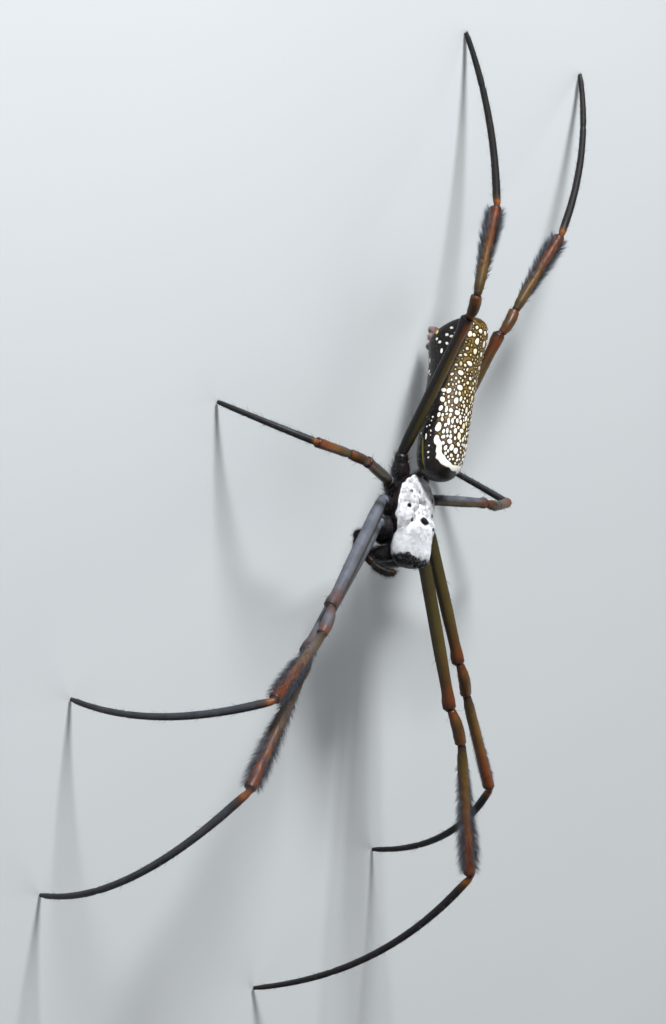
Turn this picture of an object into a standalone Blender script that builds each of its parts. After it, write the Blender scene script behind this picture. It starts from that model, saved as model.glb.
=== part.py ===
"""Golden silk orb weaver: an adult female at life size, in its resting pose on the plane of its web.

+X is the spider's left side, -Y its head end and +Z its back. The web plane is the floor, Z = 0.
Sizes below are in millimetres, and each finished mesh is scaled to metres. Each leg is modelled along
its own path and parted at its joints by thin plane cuts, and each piece that meets the body is cut
clear of it.
"""

import math
import random
from collections import namedtuple

import bmesh
import bpy
import numpy as np
from mathutils import Matrix, Vector
from mathutils.bvhtree import BVHTree

METRES = 0.001
JOINT_GAP = 0.3
EYE_GAP = 0.1
SHARP_ANGLE = math.radians(50)

# The cephalothorax has its own frame, at the middle of the carapace, with the head end pitched up.
BODY_HEIGHT = 10.4
BODY_PITCH = math.radians(22.8)
THORAX_HALF_WIDTH = 3.75
THORAX_HALF_LENGTH = 4.0
THORAX_CENTRE = 1.0
THORAX_HEIGHT = 1.55
HEAD_HALF_WIDTH = 2.85
HEAD_HALF_LENGTH = 3.1
HEAD_CENTRE = -2.8
HEAD_HEIGHT = 2.3
UNDERSIDE_DEPTH = 1.75
CARAPACE_RIM = -0.1
FOVEA = 1.5
GROOVE_REACH = (2.5, -1.9)
GROOVE_DEPTH = 0.32
HUMP_PLACE = (0.72, 0.35)
HUMP_HEIGHT = 0.3

# Each eye's direction from the middle of the head, in degrees: out from straight ahead, and up.
EYE_RADIUS = 0.27
EYE_PLACES = {
    "front_middle": (10.0, 10.0),
    "front_side": (45.0, 3.0),
    "rear_middle": (15.0, 33.0),
    "rear_side": (48.0, 21.0),
}

# The left jaw and its fang, as paths in the cephalothorax's frame, and their radii along them.
JAW_PATH = ((1.0, -4.0, -0.5), (1.13, -4.4, -1.7), (1.13, -4.5, -2.9), (1.03, -4.35, -4.2))
JAW_PATH += ((0.97, -4.25, -4.8),)
JAW_RADII = (0.85, 0.99, 1.02, 0.88, 0.5)
FANG_PATH = ((1.1, -4.1, -5.25), (0.95, -3.95, -5.75), (0.6, -3.7, -6.0), (0.28, -3.45, -5.85))
FANG_RADII = (0.26, 0.26, 0.18, 0.05)

# The abdomen is a blunt cylinder that overhangs the carapace and slopes down to the tail.
ABDOMEN_MIDDLE = Vector((0.0, 13.95, 8.4))
ABDOMEN_PITCH = math.radians(19.1)
ABDOMEN_FRONT_LENGTH = 9.65
ABDOMEN_TAIL_LENGTH = 9.1
ABDOMEN_HALF_WIDTH = 2.8
ABDOMEN_HALF_HEIGHT = 2.75
ABDOMEN_BELLY = 0.3
ABDOMEN_SWELL = (0.02, 0.48)
ABDOMEN_BLUNTNESS = (7.0, 9.0)
ABDOMEN_TAIL_SLANT = 0.5
SPINNERET_MOUND = (7.3, -2.8)

# The sizes of the four pairs of legs: where each leg leaves the body, and the lengths of its segments.
Pair = namedtuple("Pair", "trochanter coxa_root femur patella tibia thickness")
PAIRS = {
    1: Pair((4.4, -1.75, -1.5), (1.5, -1.7, -1.35), 19.8, 4.4, 15.8, 0.76),
    2: Pair((4.6, 0.8, -1.1), (1.5, 0.35, -1.4), 17.2, 4.2, 12.5, 0.74),
    3: Pair((4.2, 3.3, -0.9), (1.5, 2.2, -1.4), 9.0, 2.8, 5.8, 0.64),
    4: Pair((2.85, 6.8, -0.3), (1.3, 3.6, -1.3), 17.4, 3.3, 10.7, 0.72),
}

# The pose: each segment's heading, from straight ahead out to its own side, and its rise above the web.
Pose = namedtuple("Pose", "side pair femur patella tibia foot bow brush")
POSES = {
    "leg_left_1": Pose(1, 1, (30.5, 20.0), (38.5, 22.0), (26.5, 15.0), (23.5, -58.7), 0.09, 1.0),
    "leg_left_2": Pose(1, 2, (34.5, 20.0), (43.5, 10.0), (43.0, 12.5), (33.9, -38.2), 0.1, 0.35),
    "leg_left_3": Pose(1, 3, (106.5, 8.5), (96.0, -8.5), (102.0, -25.5), (11.0, 7.4), 0.04, 0.0),
    "leg_left_4": Pose(1, 4, (175.5, 1.0), (163.0, -3.5), (165.0, -3.0), (7.5, 55.5), 0.065, 0.9),
    "leg_right_1": Pose(-1, 1, (29.5, 16.5), (44.5, 37.0), (28.5, 20.5), (-19.7, -55.4), 0.15, 1.0),
    "leg_right_2": Pose(-1, 2, (33.5, 22.0), (32.5, 28.5), (45.0, 20.0), (-28.8, -33.8), 0.13, 0.9),
    "leg_right_3": Pose(-1, 3, (94.5, 19.5), (88.5, -15.0), (85.5, -2.5), (-27.2, 2.4), 0.1, 0.0),
    "leg_right_4": Pose(-1, 4, (169.5, 10.0), (142.5, 22.0), (181.5, -16.0), (-14.7, 52.0), 0.05, 0.9),
}
FOOT_LIFT = 0.12

# How far each segment runs past its joints before it is trimmed to them.
OVERRUN = 1.2

# The feelers' paths in the cephalothorax's frame: one curls up before the jaws, one hangs beside them.
PALP_CURLED = ((1.9, -2.9, -2.2), (2.7, -2.6, -3.7), (3.3, -2.6, -4.9), (3.1, -3.6, -4.9))
PALP_CURLED += ((2.7, -5.0, -3.9), (2.0, -6.3, -2.7), (1.3, -6.8, -1.5), (0.9, -6.65, -0.6))
PALP_HUNG = ((1.9, -2.9, -2.2), (2.7, -2.6, -3.5), (3.2, -2.6, -4.5), (3.0, -3.1, -5.2))
PALP_HUNG += ((2.6, -3.4, -5.7), (2.1, -3.5, -6.1), (1.6, -3.4, -6.5), (1.25, -3.3, -6.8))
PALP_RADII = (0.4, 0.48, 0.52, 0.48, 0.42, 0.45, 0.4, 0.2)

# Radii along each segment, as shares of the leg's thickness, from its root to its end.
COXA_GIRTH = ((0.0, 0.95), (0.45, 1.3), (0.7, 1.0), (0.78, 1.12), (1.0, 1.0))
FEMUR_GIRTH = ((0.0, 0.82), (0.12, 1.0), (0.6, 1.0), (0.86, 0.88), (0.95, 0.98), (1.0, 0.84))
PATELLA_GIRTH = ((0.0, 0.8), (0.3, 0.95), (0.8, 0.98), (1.0, 0.76))
TIBIA_GIRTH = ((0.0, 0.76), (0.12, 0.88), (0.5, 0.86), (0.85, 0.92), (1.0, 0.74))
FOOT_GIRTH = ((0.0, 0.62), (0.06, 0.66), (0.3, 0.6), (0.68, 0.52), (0.72, 0.5), (1.0, 0.4))

# The brush of stiff hair round the far part of a tibia, as flat tapered locks in staggered rings.
BRUSH_REACH = 0.95
BRUSH_SPAN = (0.27, 0.85)
BRUSH_FULLNESS = ((0.0, 0.45), (0.3, 0.85), (0.5, 1.0), (1.0, 0.95))
BRUSH_RING = 1.85
BRUSH_LEAN = math.radians(29)
LOCKS_ROUND = 5
LOCK_WIDTH = 1.05
LOCK_THICKNESS = 0.54
LOCK_ROOT_DEPTH = 0.5

OPAQUE = {
    "silver_hair": ((0.72, 0.73, 0.72, 1.0), 0.75),
    "dark_cuticle": ((0.03, 0.022, 0.02, 1.0), 0.3),
    "brown_cuticle": ((0.16, 0.06, 0.025, 1.0), 0.35),
    "olive_cuticle": ((0.13, 0.1, 0.04, 1.0), 0.35),
    "rust_cuticle": ((0.34, 0.11, 0.03, 1.0), 0.4),
    "grey_cuticle": ((0.05, 0.052, 0.06, 1.0), 0.4),
    "eye_lens": ((0.008, 0.008, 0.01, 1.0), 0.08),
    "abdomen_skin": ((0.2, 0.15, 0.06, 1.0), 0.4),
}


def body_point(x, y, z):
    """A place in the cephalothorax's frame, in the spider's own space."""
    lean, rise = math.cos(BODY_PITCH), math.sin(BODY_PITCH)
    return Vector((x, y * lean + z * rise, BODY_HEIGHT - y * rise + z * lean))


def abdomen_point(x, y, z):
    """A place in the abdomen's frame, in the spider's own space."""
    lean, rise = math.cos(ABDOMEN_PITCH), math.sin(ABDOMEN_PITCH)
    return ABDOMEN_MIDDLE + Vector((x, y * lean + z * rise, z * lean - y * rise))


def eased(stations, place):
    """A value along a profile of (place, value) stations, with a smooth step from each to the next."""
    places, values = zip(*stations)
    at = float(np.clip(place, places[0], places[-1]))
    index = min(int(np.searchsorted(places, at, side="right")), len(places) - 1)
    share = (at - places[index - 1]) / (places[index] - places[index - 1])
    share = share * share * (3.0 - 2.0 * share)
    return values[index - 1] * (1.0 - share) + values[index] * share


def smooth_max(*values, sharpness=5.0):
    """The larger of some sizes, blended smoothly where they are alike."""
    return sum(max(value, 0.0) ** sharpness for value in values) ** (1.0 / sharpness)


def bulge(place, centre, half_length, roundness):
    """One along the middle of a lobe, falling to nothing at its ends."""
    away = min(abs(place - centre) / half_length, 1.0)
    return (1.0 - away**roundness) ** 0.5


def make_object(name, mesh):
    """A helper object, until finish() makes it a node of the model."""
    item = bpy.data.objects.new(name, mesh)
    helpers.objects.link(item)
    return item


def loft(name, rings):
    """A closed mesh through rings of points, from one capped end to the other."""
    shape = bmesh.new()
    rows = [[shape.verts.new(point) for point in ring] for ring in rings]
    count = len(rows[0])
    for near, far in zip(rows, rows[1:]):
        for i in range(count):
            j = (i + 1) % count
            shape.faces.new((near[i], near[j], far[j], far[i]))
    shape.faces.new(rows[0][::-1])
    shape.faces.new(rows[-1])
    bmesh.ops.recalc_face_normals(shape, faces=shape.faces[:])
    mesh = bpy.data.meshes.new(name)
    shape.to_mesh(mesh)
    shape.free()
    return make_object(name, mesh)


def tube(name, points, radii, smoothness=2):
    """A round tube of changing radius along a path, as a mesh with welded caps."""
    curve = bpy.data.curves.new(name, "CURVE")
    curve.dimensions = "3D"
    curve.bevel_depth = 1.0
    curve.bevel_resolution = smoothness
    curve.use_fill_caps = True
    spline = curve.splines.new("POLY")
    spline.points.add(len(points) - 1)
    for control, point, radius in zip(spline.points, points, radii):
        control.co = (*point, 1.0)
        control.radius = radius
    guide = bpy.data.objects.new(name + "_guide", curve)
    helpers.objects.link(guide)
    seen = guide.evaluated_get(bpy.context.evaluated_depsgraph_get())
    mesh = bpy.data.meshes.new_from_object(seen)
    bpy.data.objects.remove(guide)
    shape = bmesh.new()
    shape.from_mesh(mesh)
    bmesh.ops.remove_doubles(shape, verts=shape.verts[:], dist=0.001)
    bmesh.ops.recalc_face_normals(shape, faces=shape.faces[:])
    shape.to_mesh(mesh)
    shape.free()
    mesh.name = name
    return make_object(name, mesh)


def ball(name, place, half_sizes, turn=None, around=10, along=6):
    """An ellipsoid with the given half sizes, turned about its centre."""
    shape = bmesh.new()
    bmesh.ops.create_uvsphere(shape, u_segments=around, v_segments=along, radius=1.0)
    size = Matrix.Diagonal((*half_sizes, 1.0))
    shape.transform(Matrix.Translation(place) @ (turn or Matrix()).to_4x4() @ size)
    mesh = bpy.data.meshes.new(name)
    shape.to_mesh(mesh)
    shape.free()
    return make_object(name, mesh)


def trim(piece, place, outward, gap=JOINT_GAP / 2, reach=3.0):
    """Cut off what lies beyond a joint's plane near it, short of it by the gap, and close the cut."""
    shape = bmesh.new()
    shape.from_mesh(piece.data)
    near = {vertex for vertex in shape.verts if (vertex.co - place).length < reach}
    edges = [edge for edge in shape.edges if near.issuperset(edge.verts)]
    faces = [face for face in shape.faces if near.issuperset(face.verts)]
    bmesh.ops.bisect_plane(
        shape,
        geom=[*near, *edges, *faces],
        plane_co=place - outward * gap,
        plane_no=outward,
        clear_outer=True,
    )
    bmesh.ops.holes_fill(shape, edges=[edge for edge in shape.edges if edge.is_boundary])
    shape.to_mesh(piece.data)
    shape.free()


def inflated(piece, distance):
    """A copy of a closed mesh, swollen evenly, to cut its neighbours clear of it."""
    copy = make_object(piece.name + "_cutter", piece.data.copy())
    shape = bmesh.new()
    shape.from_mesh(copy.data)
    shape.normal_update()
    for vertex, normal in [(vertex, vertex.normal.copy()) for vertex in shape.verts]:
        vertex.co += normal * distance
    shape.to_mesh(copy.data)
    shape.free()
    return copy


def boolean(piece, others, operation):
    """Cut the others from a piece, or join them to it, and keep the largest closed surface."""
    group = bpy.data.collections.new(piece.name + "_operands")
    helpers.children.link(group)
    for other in others:
        group.objects.link(other)
    step = piece.modifiers.new(operation.title(), "BOOLEAN")
    step.operation = operation
    step.operand_type = "COLLECTION"
    step.collection = group
    bpy.context.view_layer.update()
    seen = piece.evaluated_get(bpy.context.evaluated_depsgraph_get())
    mesh = bpy.data.meshes.new_from_object(seen)
    piece.modifiers.clear()
    piece.data = mesh
    bpy.data.collections.remove(group)
    keep_largest(piece)


def keep_largest(piece):
    """Drop loose scraps and sealed hollows, by the volume that each closed surface holds."""
    shape = bmesh.new()
    shape.from_mesh(piece.data)
    unseen = set(shape.faces)
    islands = []
    while unseen:
        front = [unseen.pop()]
        island = list(front)
        while front:
            for edge in front.pop().edges:
                fresh = [face for face in edge.link_faces if face in unseen]
                unseen.difference_update(fresh)
                front.extend(fresh)
                island.extend(fresh)
        islands.append(island)

    def volume(island):
        total = 0.0
        for face in island:
            first = face.verts[0].co
            for near, far in zip(face.verts[1:], face.verts[2:]):
                total += first.dot(near.co.cross(far.co))
        return total

    islands.sort(key=volume)
    scraps = [face for island in islands[:-1] for face in island]
    bmesh.ops.delete(shape, geom=scraps, context="FACES")
    shape.to_mesh(piece.data)
    shape.free()


def remove(*pieces):
    for piece in pieces:
        bpy.data.objects.remove(piece)


def finish(piece, name, look):
    """Turn a piece into a node of the model: scaled to metres, about the model's own origin."""
    piece.data.transform(Matrix.Scale(METRES, 4) @ Matrix.Translation(-feet_centre()))
    piece.name = name
    piece.data.name = name
    piece.data.materials.clear()
    piece.data.materials.append(look)
    piece.data.shade_smooth()
    piece.data.set_sharp_from_angle(angle=SHARP_ANGLE)
    helpers.objects.unlink(piece)
    parts.objects.link(piece)


def feet_centre():
    """The middle of the box round the feet, on the floor: the model's origin."""
    feet = np.array([pose.foot for pose in POSES.values()])
    return Vector((*((feet.min(axis=0) + feet.max(axis=0)) / 2), 0.0))


def make_materials():
    made = {}
    for name, (colour, roughness) in OPAQUE.items():
        look = bpy.data.materials.new(name)
        look.use_nodes = True
        shader = look.node_tree.nodes["Principled BSDF"]
        shader.inputs["Base Color"].default_value = colour
        shader.inputs["Roughness"].default_value = roughness
        shader.inputs["Metallic"].default_value = 0.0
        made[name] = look
    return made


def carapace_relief(x, y):
    """The fovea, the two grooves that run from it round the head, and the pair of small humps."""
    reach_x, reach_y = GROOVE_REACH
    length = math.hypot(reach_x, reach_y - FOVEA)
    along = (abs(x) * reach_x + (y - FOVEA) * (reach_y - FOVEA)) / length
    across = (abs(x) * (reach_y - FOVEA) - (y - FOVEA) * reach_x) / length
    inside = 1.0 / (1.0 + math.exp(-4.0 * along)) * (1.0 if along < length else 0.0)
    groove = GROOVE_DEPTH * inside * math.exp(-((across / 0.4) ** 2))
    pit = 0.25 * math.exp(-((x / 0.7) ** 2) - ((y - FOVEA) / 0.35) ** 2)
    hump_x, hump_y = HUMP_PLACE
    hump = HUMP_HEIGHT * math.exp(-(((abs(x) - hump_x) / 0.3) ** 2) - ((y - hump_y) / 0.35) ** 2)
    return hump - groove - pit


def cephalothorax_ring(y, count):
    """One section across the cephalothorax: a domed back over sides that slope in to the sternum."""
    thorax = bulge(y, THORAX_CENTRE, THORAX_HALF_LENGTH, 2.0)
    head = bulge(y, HEAD_CENTRE, HEAD_HALF_LENGTH, 5.0)
    half = smooth_max(THORAX_HALF_WIDTH * thorax, HEAD_HALF_WIDTH * head)
    top = smooth_max(THORAX_HEIGHT * bulge(y, THORAX_CENTRE, THORAX_HALF_LENGTH, 3.0), HEAD_HEIGHT * head)
    depth = UNDERSIDE_DEPTH * smooth_max(thorax, head)
    ring = []
    for step in range(count):
        angle = math.tau * step / count
        across, up = math.cos(angle), math.sin(angle)
        if up >= 0.0:
            x = half * math.copysign(abs(across) ** 0.9, across)
            relief = carapace_relief(x, y) * min(up * 2.0, 1.0) * min(smooth_max(thorax, head) * 1.5, 1.0)
            z = CARAPACE_RIM + top * up**0.85 + relief
        else:
            x = half * across * (1.0 - 0.42 * abs(up) ** 1.5)
            z = CARAPACE_RIM - depth * abs(up) ** 0.9
        ring.append(body_point(x, y, z))
    return ring


def make_cephalothorax():
    front, rear = HEAD_CENTRE - HEAD_HALF_LENGTH, THORAX_CENTRE + THORAX_HALF_LENGTH
    middle, half = (front + rear) / 2, (rear - front) / 2
    slices = 20
    places = [middle - half * math.cos(math.pi * (i + 0.35) / (slices - 0.3)) for i in range(slices)]
    return loft("cephalothorax", [cephalothorax_ring(y, 24) for y in places])


def make_abdomen():
    slices, count = 21, 24
    rings = []
    for i in range(slices):
        along = math.sin(math.pi / 2 * (-1.0 + 2.0 * (i + 0.3) / (slices - 0.4)))
        end = 0 if along < 0.0 else 1
        length = ABDOMEN_TAIL_LENGTH if end else ABDOMEN_FRONT_LENGTH
        swell = 1.0 + ABDOMEN_SWELL[end] * abs(along) ** 3
        round_off = (1.0 - abs(along) ** ABDOMEN_BLUNTNESS[end]) ** 0.5 * swell
        ring = []
        for step in range(count):
            angle = math.tau * step / count
            x = ABDOMEN_HALF_WIDTH * round_off * math.cos(angle)
            height = ABDOMEN_HALF_HEIGHT + (ABDOMEN_BELLY if math.sin(angle) < 0.0 else 0.0)
            z = height * round_off * math.sin(angle)
            y = length * along + ABDOMEN_TAIL_SLANT * max(along, 0.0) ** 2 * z
            ring.append(abdomen_point(x, y, z))
        rings.append(ring)
    return loft("abdomen", rings)


def make_spinnerets(abdomen_clearance):
    """Three pairs of short tapered spinnerets on a low mound under the tail."""
    turn = Matrix.Rotation(-ABDOMEN_PITCH, 3, "X")
    middle, base = SPINNERET_MOUND
    mound = ball("mound", abdomen_point(0.0, middle, base), (1.25, 1.35, 0.9), turn, 12, 7)
    cones = []
    for side in (-1, 1):
        for away, spread, length in ((-0.8, 0.52, 0.85), (0.05, 0.75, 0.65), (0.85, 0.45, 0.95)):
            root = abdomen_point(side * spread, middle + away, base - 0.35)
            tip = abdomen_point(side * spread * 0.9, middle + away * 1.35, base - 0.4 - length)
            points = [root.lerp(tip, share) for share in (0.0, 0.6, 0.9, 1.0)]
            cones.append(tube("spinneret", points, (0.48, 0.44, 0.3, 0.12), 1))
    boolean(mound, cones, "UNION")
    remove(*cones)
    boolean(mound, [abdomen_clearance], "DIFFERENCE")
    return mound


def make_pedicel(clearances):
    start = body_point(0.0, 3.9, -0.7)
    end = abdomen_point(0.0, -7.6, -1.4)
    points = [start.lerp(end, share) for share in (0.0, 0.25, 0.5, 0.75, 1.0)]
    stalk = tube("pedicel", points, (0.62, 0.58, 0.55, 0.58, 0.62))
    boolean(stalk, clearances, "DIFFERENCE")
    return stalk


def make_eyes(cephalothorax):
    """Eight small domes, in two rows across the front of the head, each set in its own socket."""
    surface = bmesh.new()
    surface.from_mesh(cephalothorax.data)
    tree = BVHTree.FromBMesh(surface)
    surface.free()
    start = body_point(0.0, -3.1, 0.3)
    eyes, sockets = {}, []
    for label, (outward, rise) in EYE_PLACES.items():
        turn, lift = math.radians(outward), math.radians(rise)
        for side, word in ((1, "left"), (-1, "right")):
            flat = math.cos(lift)
            way = body_point(side * math.sin(turn) * flat, -math.cos(turn) * flat, math.sin(lift))
            way -= body_point(0.0, 0.0, 0.0)
            place, normal, _, _ = tree.ray_cast(start, way)
            centre = place - normal * EYE_RADIUS * 0.2
            eyes[f"eye_{word}_{label}"] = ball("eye", centre, (EYE_RADIUS,) * 3)
            wide = (EYE_RADIUS + EYE_GAP,) * 3
            sockets.append(ball("socket", centre, wide, around=8, along=6))
    boolean(cephalothorax, sockets, "DIFFERENCE")
    remove(*sockets)
    return eyes


def make_mouthparts(clearance):
    """The jaws with their fangs, and the plates under the mouth."""
    made = {}
    for side, word in ((1, "left"), (-1, "right")):
        base = tube("jaw", [body_point(side * x, y, z) for x, y, z in JAW_PATH], JAW_RADII)
        boolean(base, [clearance], "DIFFERENCE")
        made[f"chelicera_{word}"] = base
        fang = [body_point(side * x, y, z) for x, y, z in FANG_PATH]
        made[f"fang_{word}"] = tube("fang", fang, FANG_RADII, 1)
        turn = Matrix.Rotation(-BODY_PITCH, 3, "X") @ Matrix.Rotation(math.radians(side * 14), 3, "Z")
        plate = ball("maxilla", body_point(side * 1.1, -2.3, -2.8), (0.62, 0.78, 0.85), turn)
        boolean(plate, [clearance], "DIFFERENCE")
        made[f"maxilla_{word}"] = plate
    turn = Matrix.Rotation(-BODY_PITCH, 3, "X")
    made["labium"] = ball("labium", body_point(0.0, -2.1, -2.2), (0.4, 0.5, 0.38), turn)
    boolean(made["labium"], [clearance], "DIFFERENCE")
    return made


def make_sternum(clearance):
    """The shield under the thorax, broad in front and drawn in towards the last legs."""
    plate = ball("sternum", Vector(), (1.35, 2.35, 0.62), around=14, along=8)
    for vertex in plate.data.vertices:
        narrowing = 1.0 - 0.22 * (vertex.co.y + 1.0) / 2.35
        x, y, z = vertex.co
        vertex.co = body_point(x * narrowing, y + 0.95, z - 2.0)
    boolean(plate, [clearance], "DIFFERENCE")
    return plate


def make_palp(side, places, clearances):
    """A short feeler: down from the mouth to its knee, and on by way of the tibia to the tarsus."""
    points = [body_point(side * x, y, z) for x, y, z in places]
    feeler = tube("palp", points, PALP_RADII)
    boolean(feeler, clearances, "DIFFERENCE")
    return feeler


def heading(side, angles):
    """The way a segment points, from its heading and its rise in degrees."""
    turn, rise = (math.radians(angle) for angle in angles)
    return Vector((side * math.sin(turn) * math.cos(rise), -math.cos(turn) * math.cos(rise), math.sin(rise)))


def leg_joints(pose):
    """The leg's joints from the trochanter to the foot, and the direction of each segment."""
    pair = PAIRS[pose.pair]
    x, y, z = pair.trochanter
    joints = [body_point(pose.side * x, y, z)]
    lengths = (pair.femur, pair.patella, pair.tibia)
    ways = [heading(pose.side, angles) for angles in (pose.femur, pose.patella, pose.tibia)]
    for length, way in zip(lengths, ways):
        joints.append(joints[-1] + way * length)
    return joints, ways


def foot_path(pose, start, way, steps):
    """The last two segments in one bow, from the tibia's end to the foot on the floor."""
    foot = Vector((*pose.foot, FOOT_LIFT))
    chord = foot - start
    rise = (way - chord * (way.dot(chord) / chord.length_squared)).normalized()
    points = []
    for i in range(steps + 1):
        share = i / steps
        lift = 4.0 * share * (1.0 - share) * pose.bow * chord.length
        points.append(start + chord * share + rise * lift)
    return points


def straight(start, end, steps):
    """Evenly spaced points from before the start to past the end."""
    way = (end - start).normalized()
    inner = [start.lerp(end, i / steps) for i in range(steps + 1)]
    return [start - way * OVERRUN, *inner, end + way * OVERRUN]


def girth(stations, thickness, steps):
    """Radii for a straight run of points, its ends repeated for the overrun."""
    radii = [eased(stations, i / steps) * thickness for i in range(steps + 1)]
    return [radii[0], *radii, radii[-1]]


def joint_plane(before, after):
    return (before + after).normalized()


def make_leg(label, pose, clearances):
    """The four nodes of one leg: coxa, femur, patella with tibia, and foot."""
    pair = PAIRS[pose.pair]
    joints, ways = leg_joints(pose)
    x, y, z = pair.coxa_root
    root = body_point(pose.side * x, y, z)
    coxa_way = (joints[0] - root).normalized()

    coxa = tube("coxa", straight(root, joints[0], 8), girth(COXA_GIRTH, pair.thickness, 8))
    trim(coxa, joints[0], joint_plane(coxa_way, ways[0]))
    trim(coxa, root, -coxa_way, 0.0)
    boolean(coxa, clearances, "DIFFERENCE")

    femur = tube("femur", straight(joints[0], joints[1], 9), girth(FEMUR_GIRTH, pair.thickness, 9))
    trim(femur, joints[0], -joint_plane(coxa_way, ways[0]))
    trim(femur, joints[1], joint_plane(ways[0], ways[1]))

    bow = foot_path(pose, joints[3], ways[2], 12)
    foot_way = (bow[1] - bow[0]).normalized()
    tibia = make_tibia(pose, pair, joints)
    trim(tibia, joints[1], -joint_plane(ways[0], ways[1]))
    trim(tibia, joints[3], joint_plane(ways[2], foot_way))

    last_way = (bow[-1] - bow[-2]).normalized()
    points = [bow[0] - foot_way * 0.8, *bow, bow[-1] + last_way * 0.3]
    foot = tube("foot", points, girth(FOOT_GIRTH, pair.thickness, 12))
    trim(foot, joints[3], -joint_plane(ways[2], foot_way))
    trim(foot, Vector((*pose.foot, 0.0)), Vector((0.0, 0.0, -1.0)), 0.0, math.inf)
    return {
        f"{label}_coxa": (coxa, "brown_cuticle"),
        f"{label}_femur": (femur, "olive_cuticle"),
        f"{label}_tibia": (tibia, "rust_cuticle"),
        f"{label}_foot": (foot, "grey_cuticle"),
    }


def make_tibia(pose, pair, joints):
    """The patella and the tibia in one piece, with the tibia's brush of locks."""
    patella = straight(joints[1], joints[2], 4)[:-1]
    shin = straight(joints[2], joints[3], 10)[2:]
    radii = girth(PATELLA_GIRTH, pair.thickness, 4)[:-1] + girth(TIBIA_GIRTH, pair.thickness, 10)[2:]
    tibia = tube("tibia", patella + shin, radii)
    locks = make_brush(pose, pair, joints[2], joints[3])
    if locks:
        boolean(tibia, locks, "UNION")
        remove(*locks)
    return tibia


def make_lock_shape():
    """One lock along +Z, of unit size: broad near its root, arched outwards, and drawn to a point."""
    points = (Vector((0.0, 0.0, 0.0)), Vector((0.0, 0.5, 0.5)), Vector((0.0, 0.2, 1.0)))
    return tube("lock", points, (0.5, 0.47, 0.0), 0)


def make_brush(pose, pair, start, end):
    """Locks in staggered rings round a tibia, each leaning towards its end; their tips stop short of it."""
    draw = random.Random(10 * pose.pair + pose.side)
    axis = (end - start).normalized()
    side = axis.orthogonal().normalized()
    length = (end - start).length
    rings = round(length * (BRUSH_SPAN[1] - BRUSH_SPAN[0]) / BRUSH_RING) + 1 if pose.brush else 0
    shape = make_lock_shape()
    locks = []
    for ring in range(rings):
        for place in range(LOCKS_ROUND):
            share = (ring + draw.uniform(-0.15, 0.15)) / (rings - 1)
            along = length * (BRUSH_SPAN[0] + share * (BRUSH_SPAN[1] - BRUSH_SPAN[0]))
            turn = math.tau * (place + 0.5 * (ring % 2) + draw.uniform(-0.1, 0.1)) / LOCKS_ROUND
            outward = Matrix.Rotation(turn, 3, axis) @ side
            skin = eased(TIBIA_GIRTH, along / length) * pair.thickness
            fullness = eased(BRUSH_FULLNESS, share) * pose.brush * draw.uniform(0.9, 1.0)
            reach = skin * (1.0 - LOCK_ROOT_DEPTH) + BRUSH_REACH * fullness
            size = min(reach / math.sin(BRUSH_LEAN), (length - along - 0.4) / math.cos(BRUSH_LEAN))
            way = axis * math.cos(BRUSH_LEAN) + outward * math.sin(BRUSH_LEAN)
            face = outward * math.cos(BRUSH_LEAN) - axis * math.sin(BRUSH_LEAN)
            turned = Matrix((face.cross(way), face, way)).transposed().to_4x4()
            root = Matrix.Translation(start + axis * along + outward * skin * LOCK_ROOT_DEPTH)
            lock = make_object("lock", shape.data.copy())
            scale = Matrix.Diagonal((LOCK_WIDTH, LOCK_THICKNESS, size, 1.0))
            lock.data.transform(root @ turned @ scale)
            locks.append(lock)
    remove(shape)
    return locks


for old in list(bpy.data.objects):
    bpy.data.objects.remove(old)
parts = bpy.data.collections.new("golden_silk_orb_weaver")
bpy.context.scene.collection.children.link(parts)
helpers = bpy.data.collections.new("cutters")
bpy.context.scene.collection.children.link(helpers)

looks = make_materials()
cephalothorax = make_cephalothorax()
abdomen = make_abdomen()
body_clearance = inflated(cephalothorax, JOINT_GAP)
abdomen_clearance = inflated(abdomen, JOINT_GAP)
sternum = make_sternum(body_clearance)
sternum_clearance = inflated(sternum, JOINT_GAP)

nodes = {}
for label, pose in POSES.items():
    nodes.update(make_leg(label, pose, [body_clearance, sternum_clearance]))
for label, piece in make_mouthparts(body_clearance).items():
    nodes[label] = (piece, "dark_cuticle")
nodes["palp_left"] = (make_palp(1, PALP_HUNG, [body_clearance]), "brown_cuticle")
nodes["palp_right"] = (make_palp(-1, PALP_CURLED, [body_clearance]), "brown_cuticle")
nodes["sternum"] = (sternum, "brown_cuticle")
nodes["pedicel"] = (make_pedicel([body_clearance, abdomen_clearance]), "dark_cuticle")
nodes["spinnerets"] = (make_spinnerets(abdomen_clearance), "brown_cuticle")
for label, piece in make_eyes(cephalothorax).items():
    nodes[label] = (piece, "eye_lens")
nodes["cephalothorax"] = (cephalothorax, "silver_hair")
nodes["abdomen"] = (abdomen, "abdomen_skin")

remove(body_clearance, abdomen_clearance, sternum_clearance)
for label, (piece, look) in nodes.items():
    finish(piece, label, looks[look])
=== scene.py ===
# %% [markdown]
# # A golden silk orb weaver, as a museum shows one
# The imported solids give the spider's size, pose and proportions. This lesson dresses them: smooth
# cuticle, a spotted abdomen, silver felt on the carapace, and thousands of hairs and bristles.
# Every shape here is an array formula in millimetres, turned into a mesh in one step.

import math

import bpy
import numpy as np
from mathutils import Matrix, Vector


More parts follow.
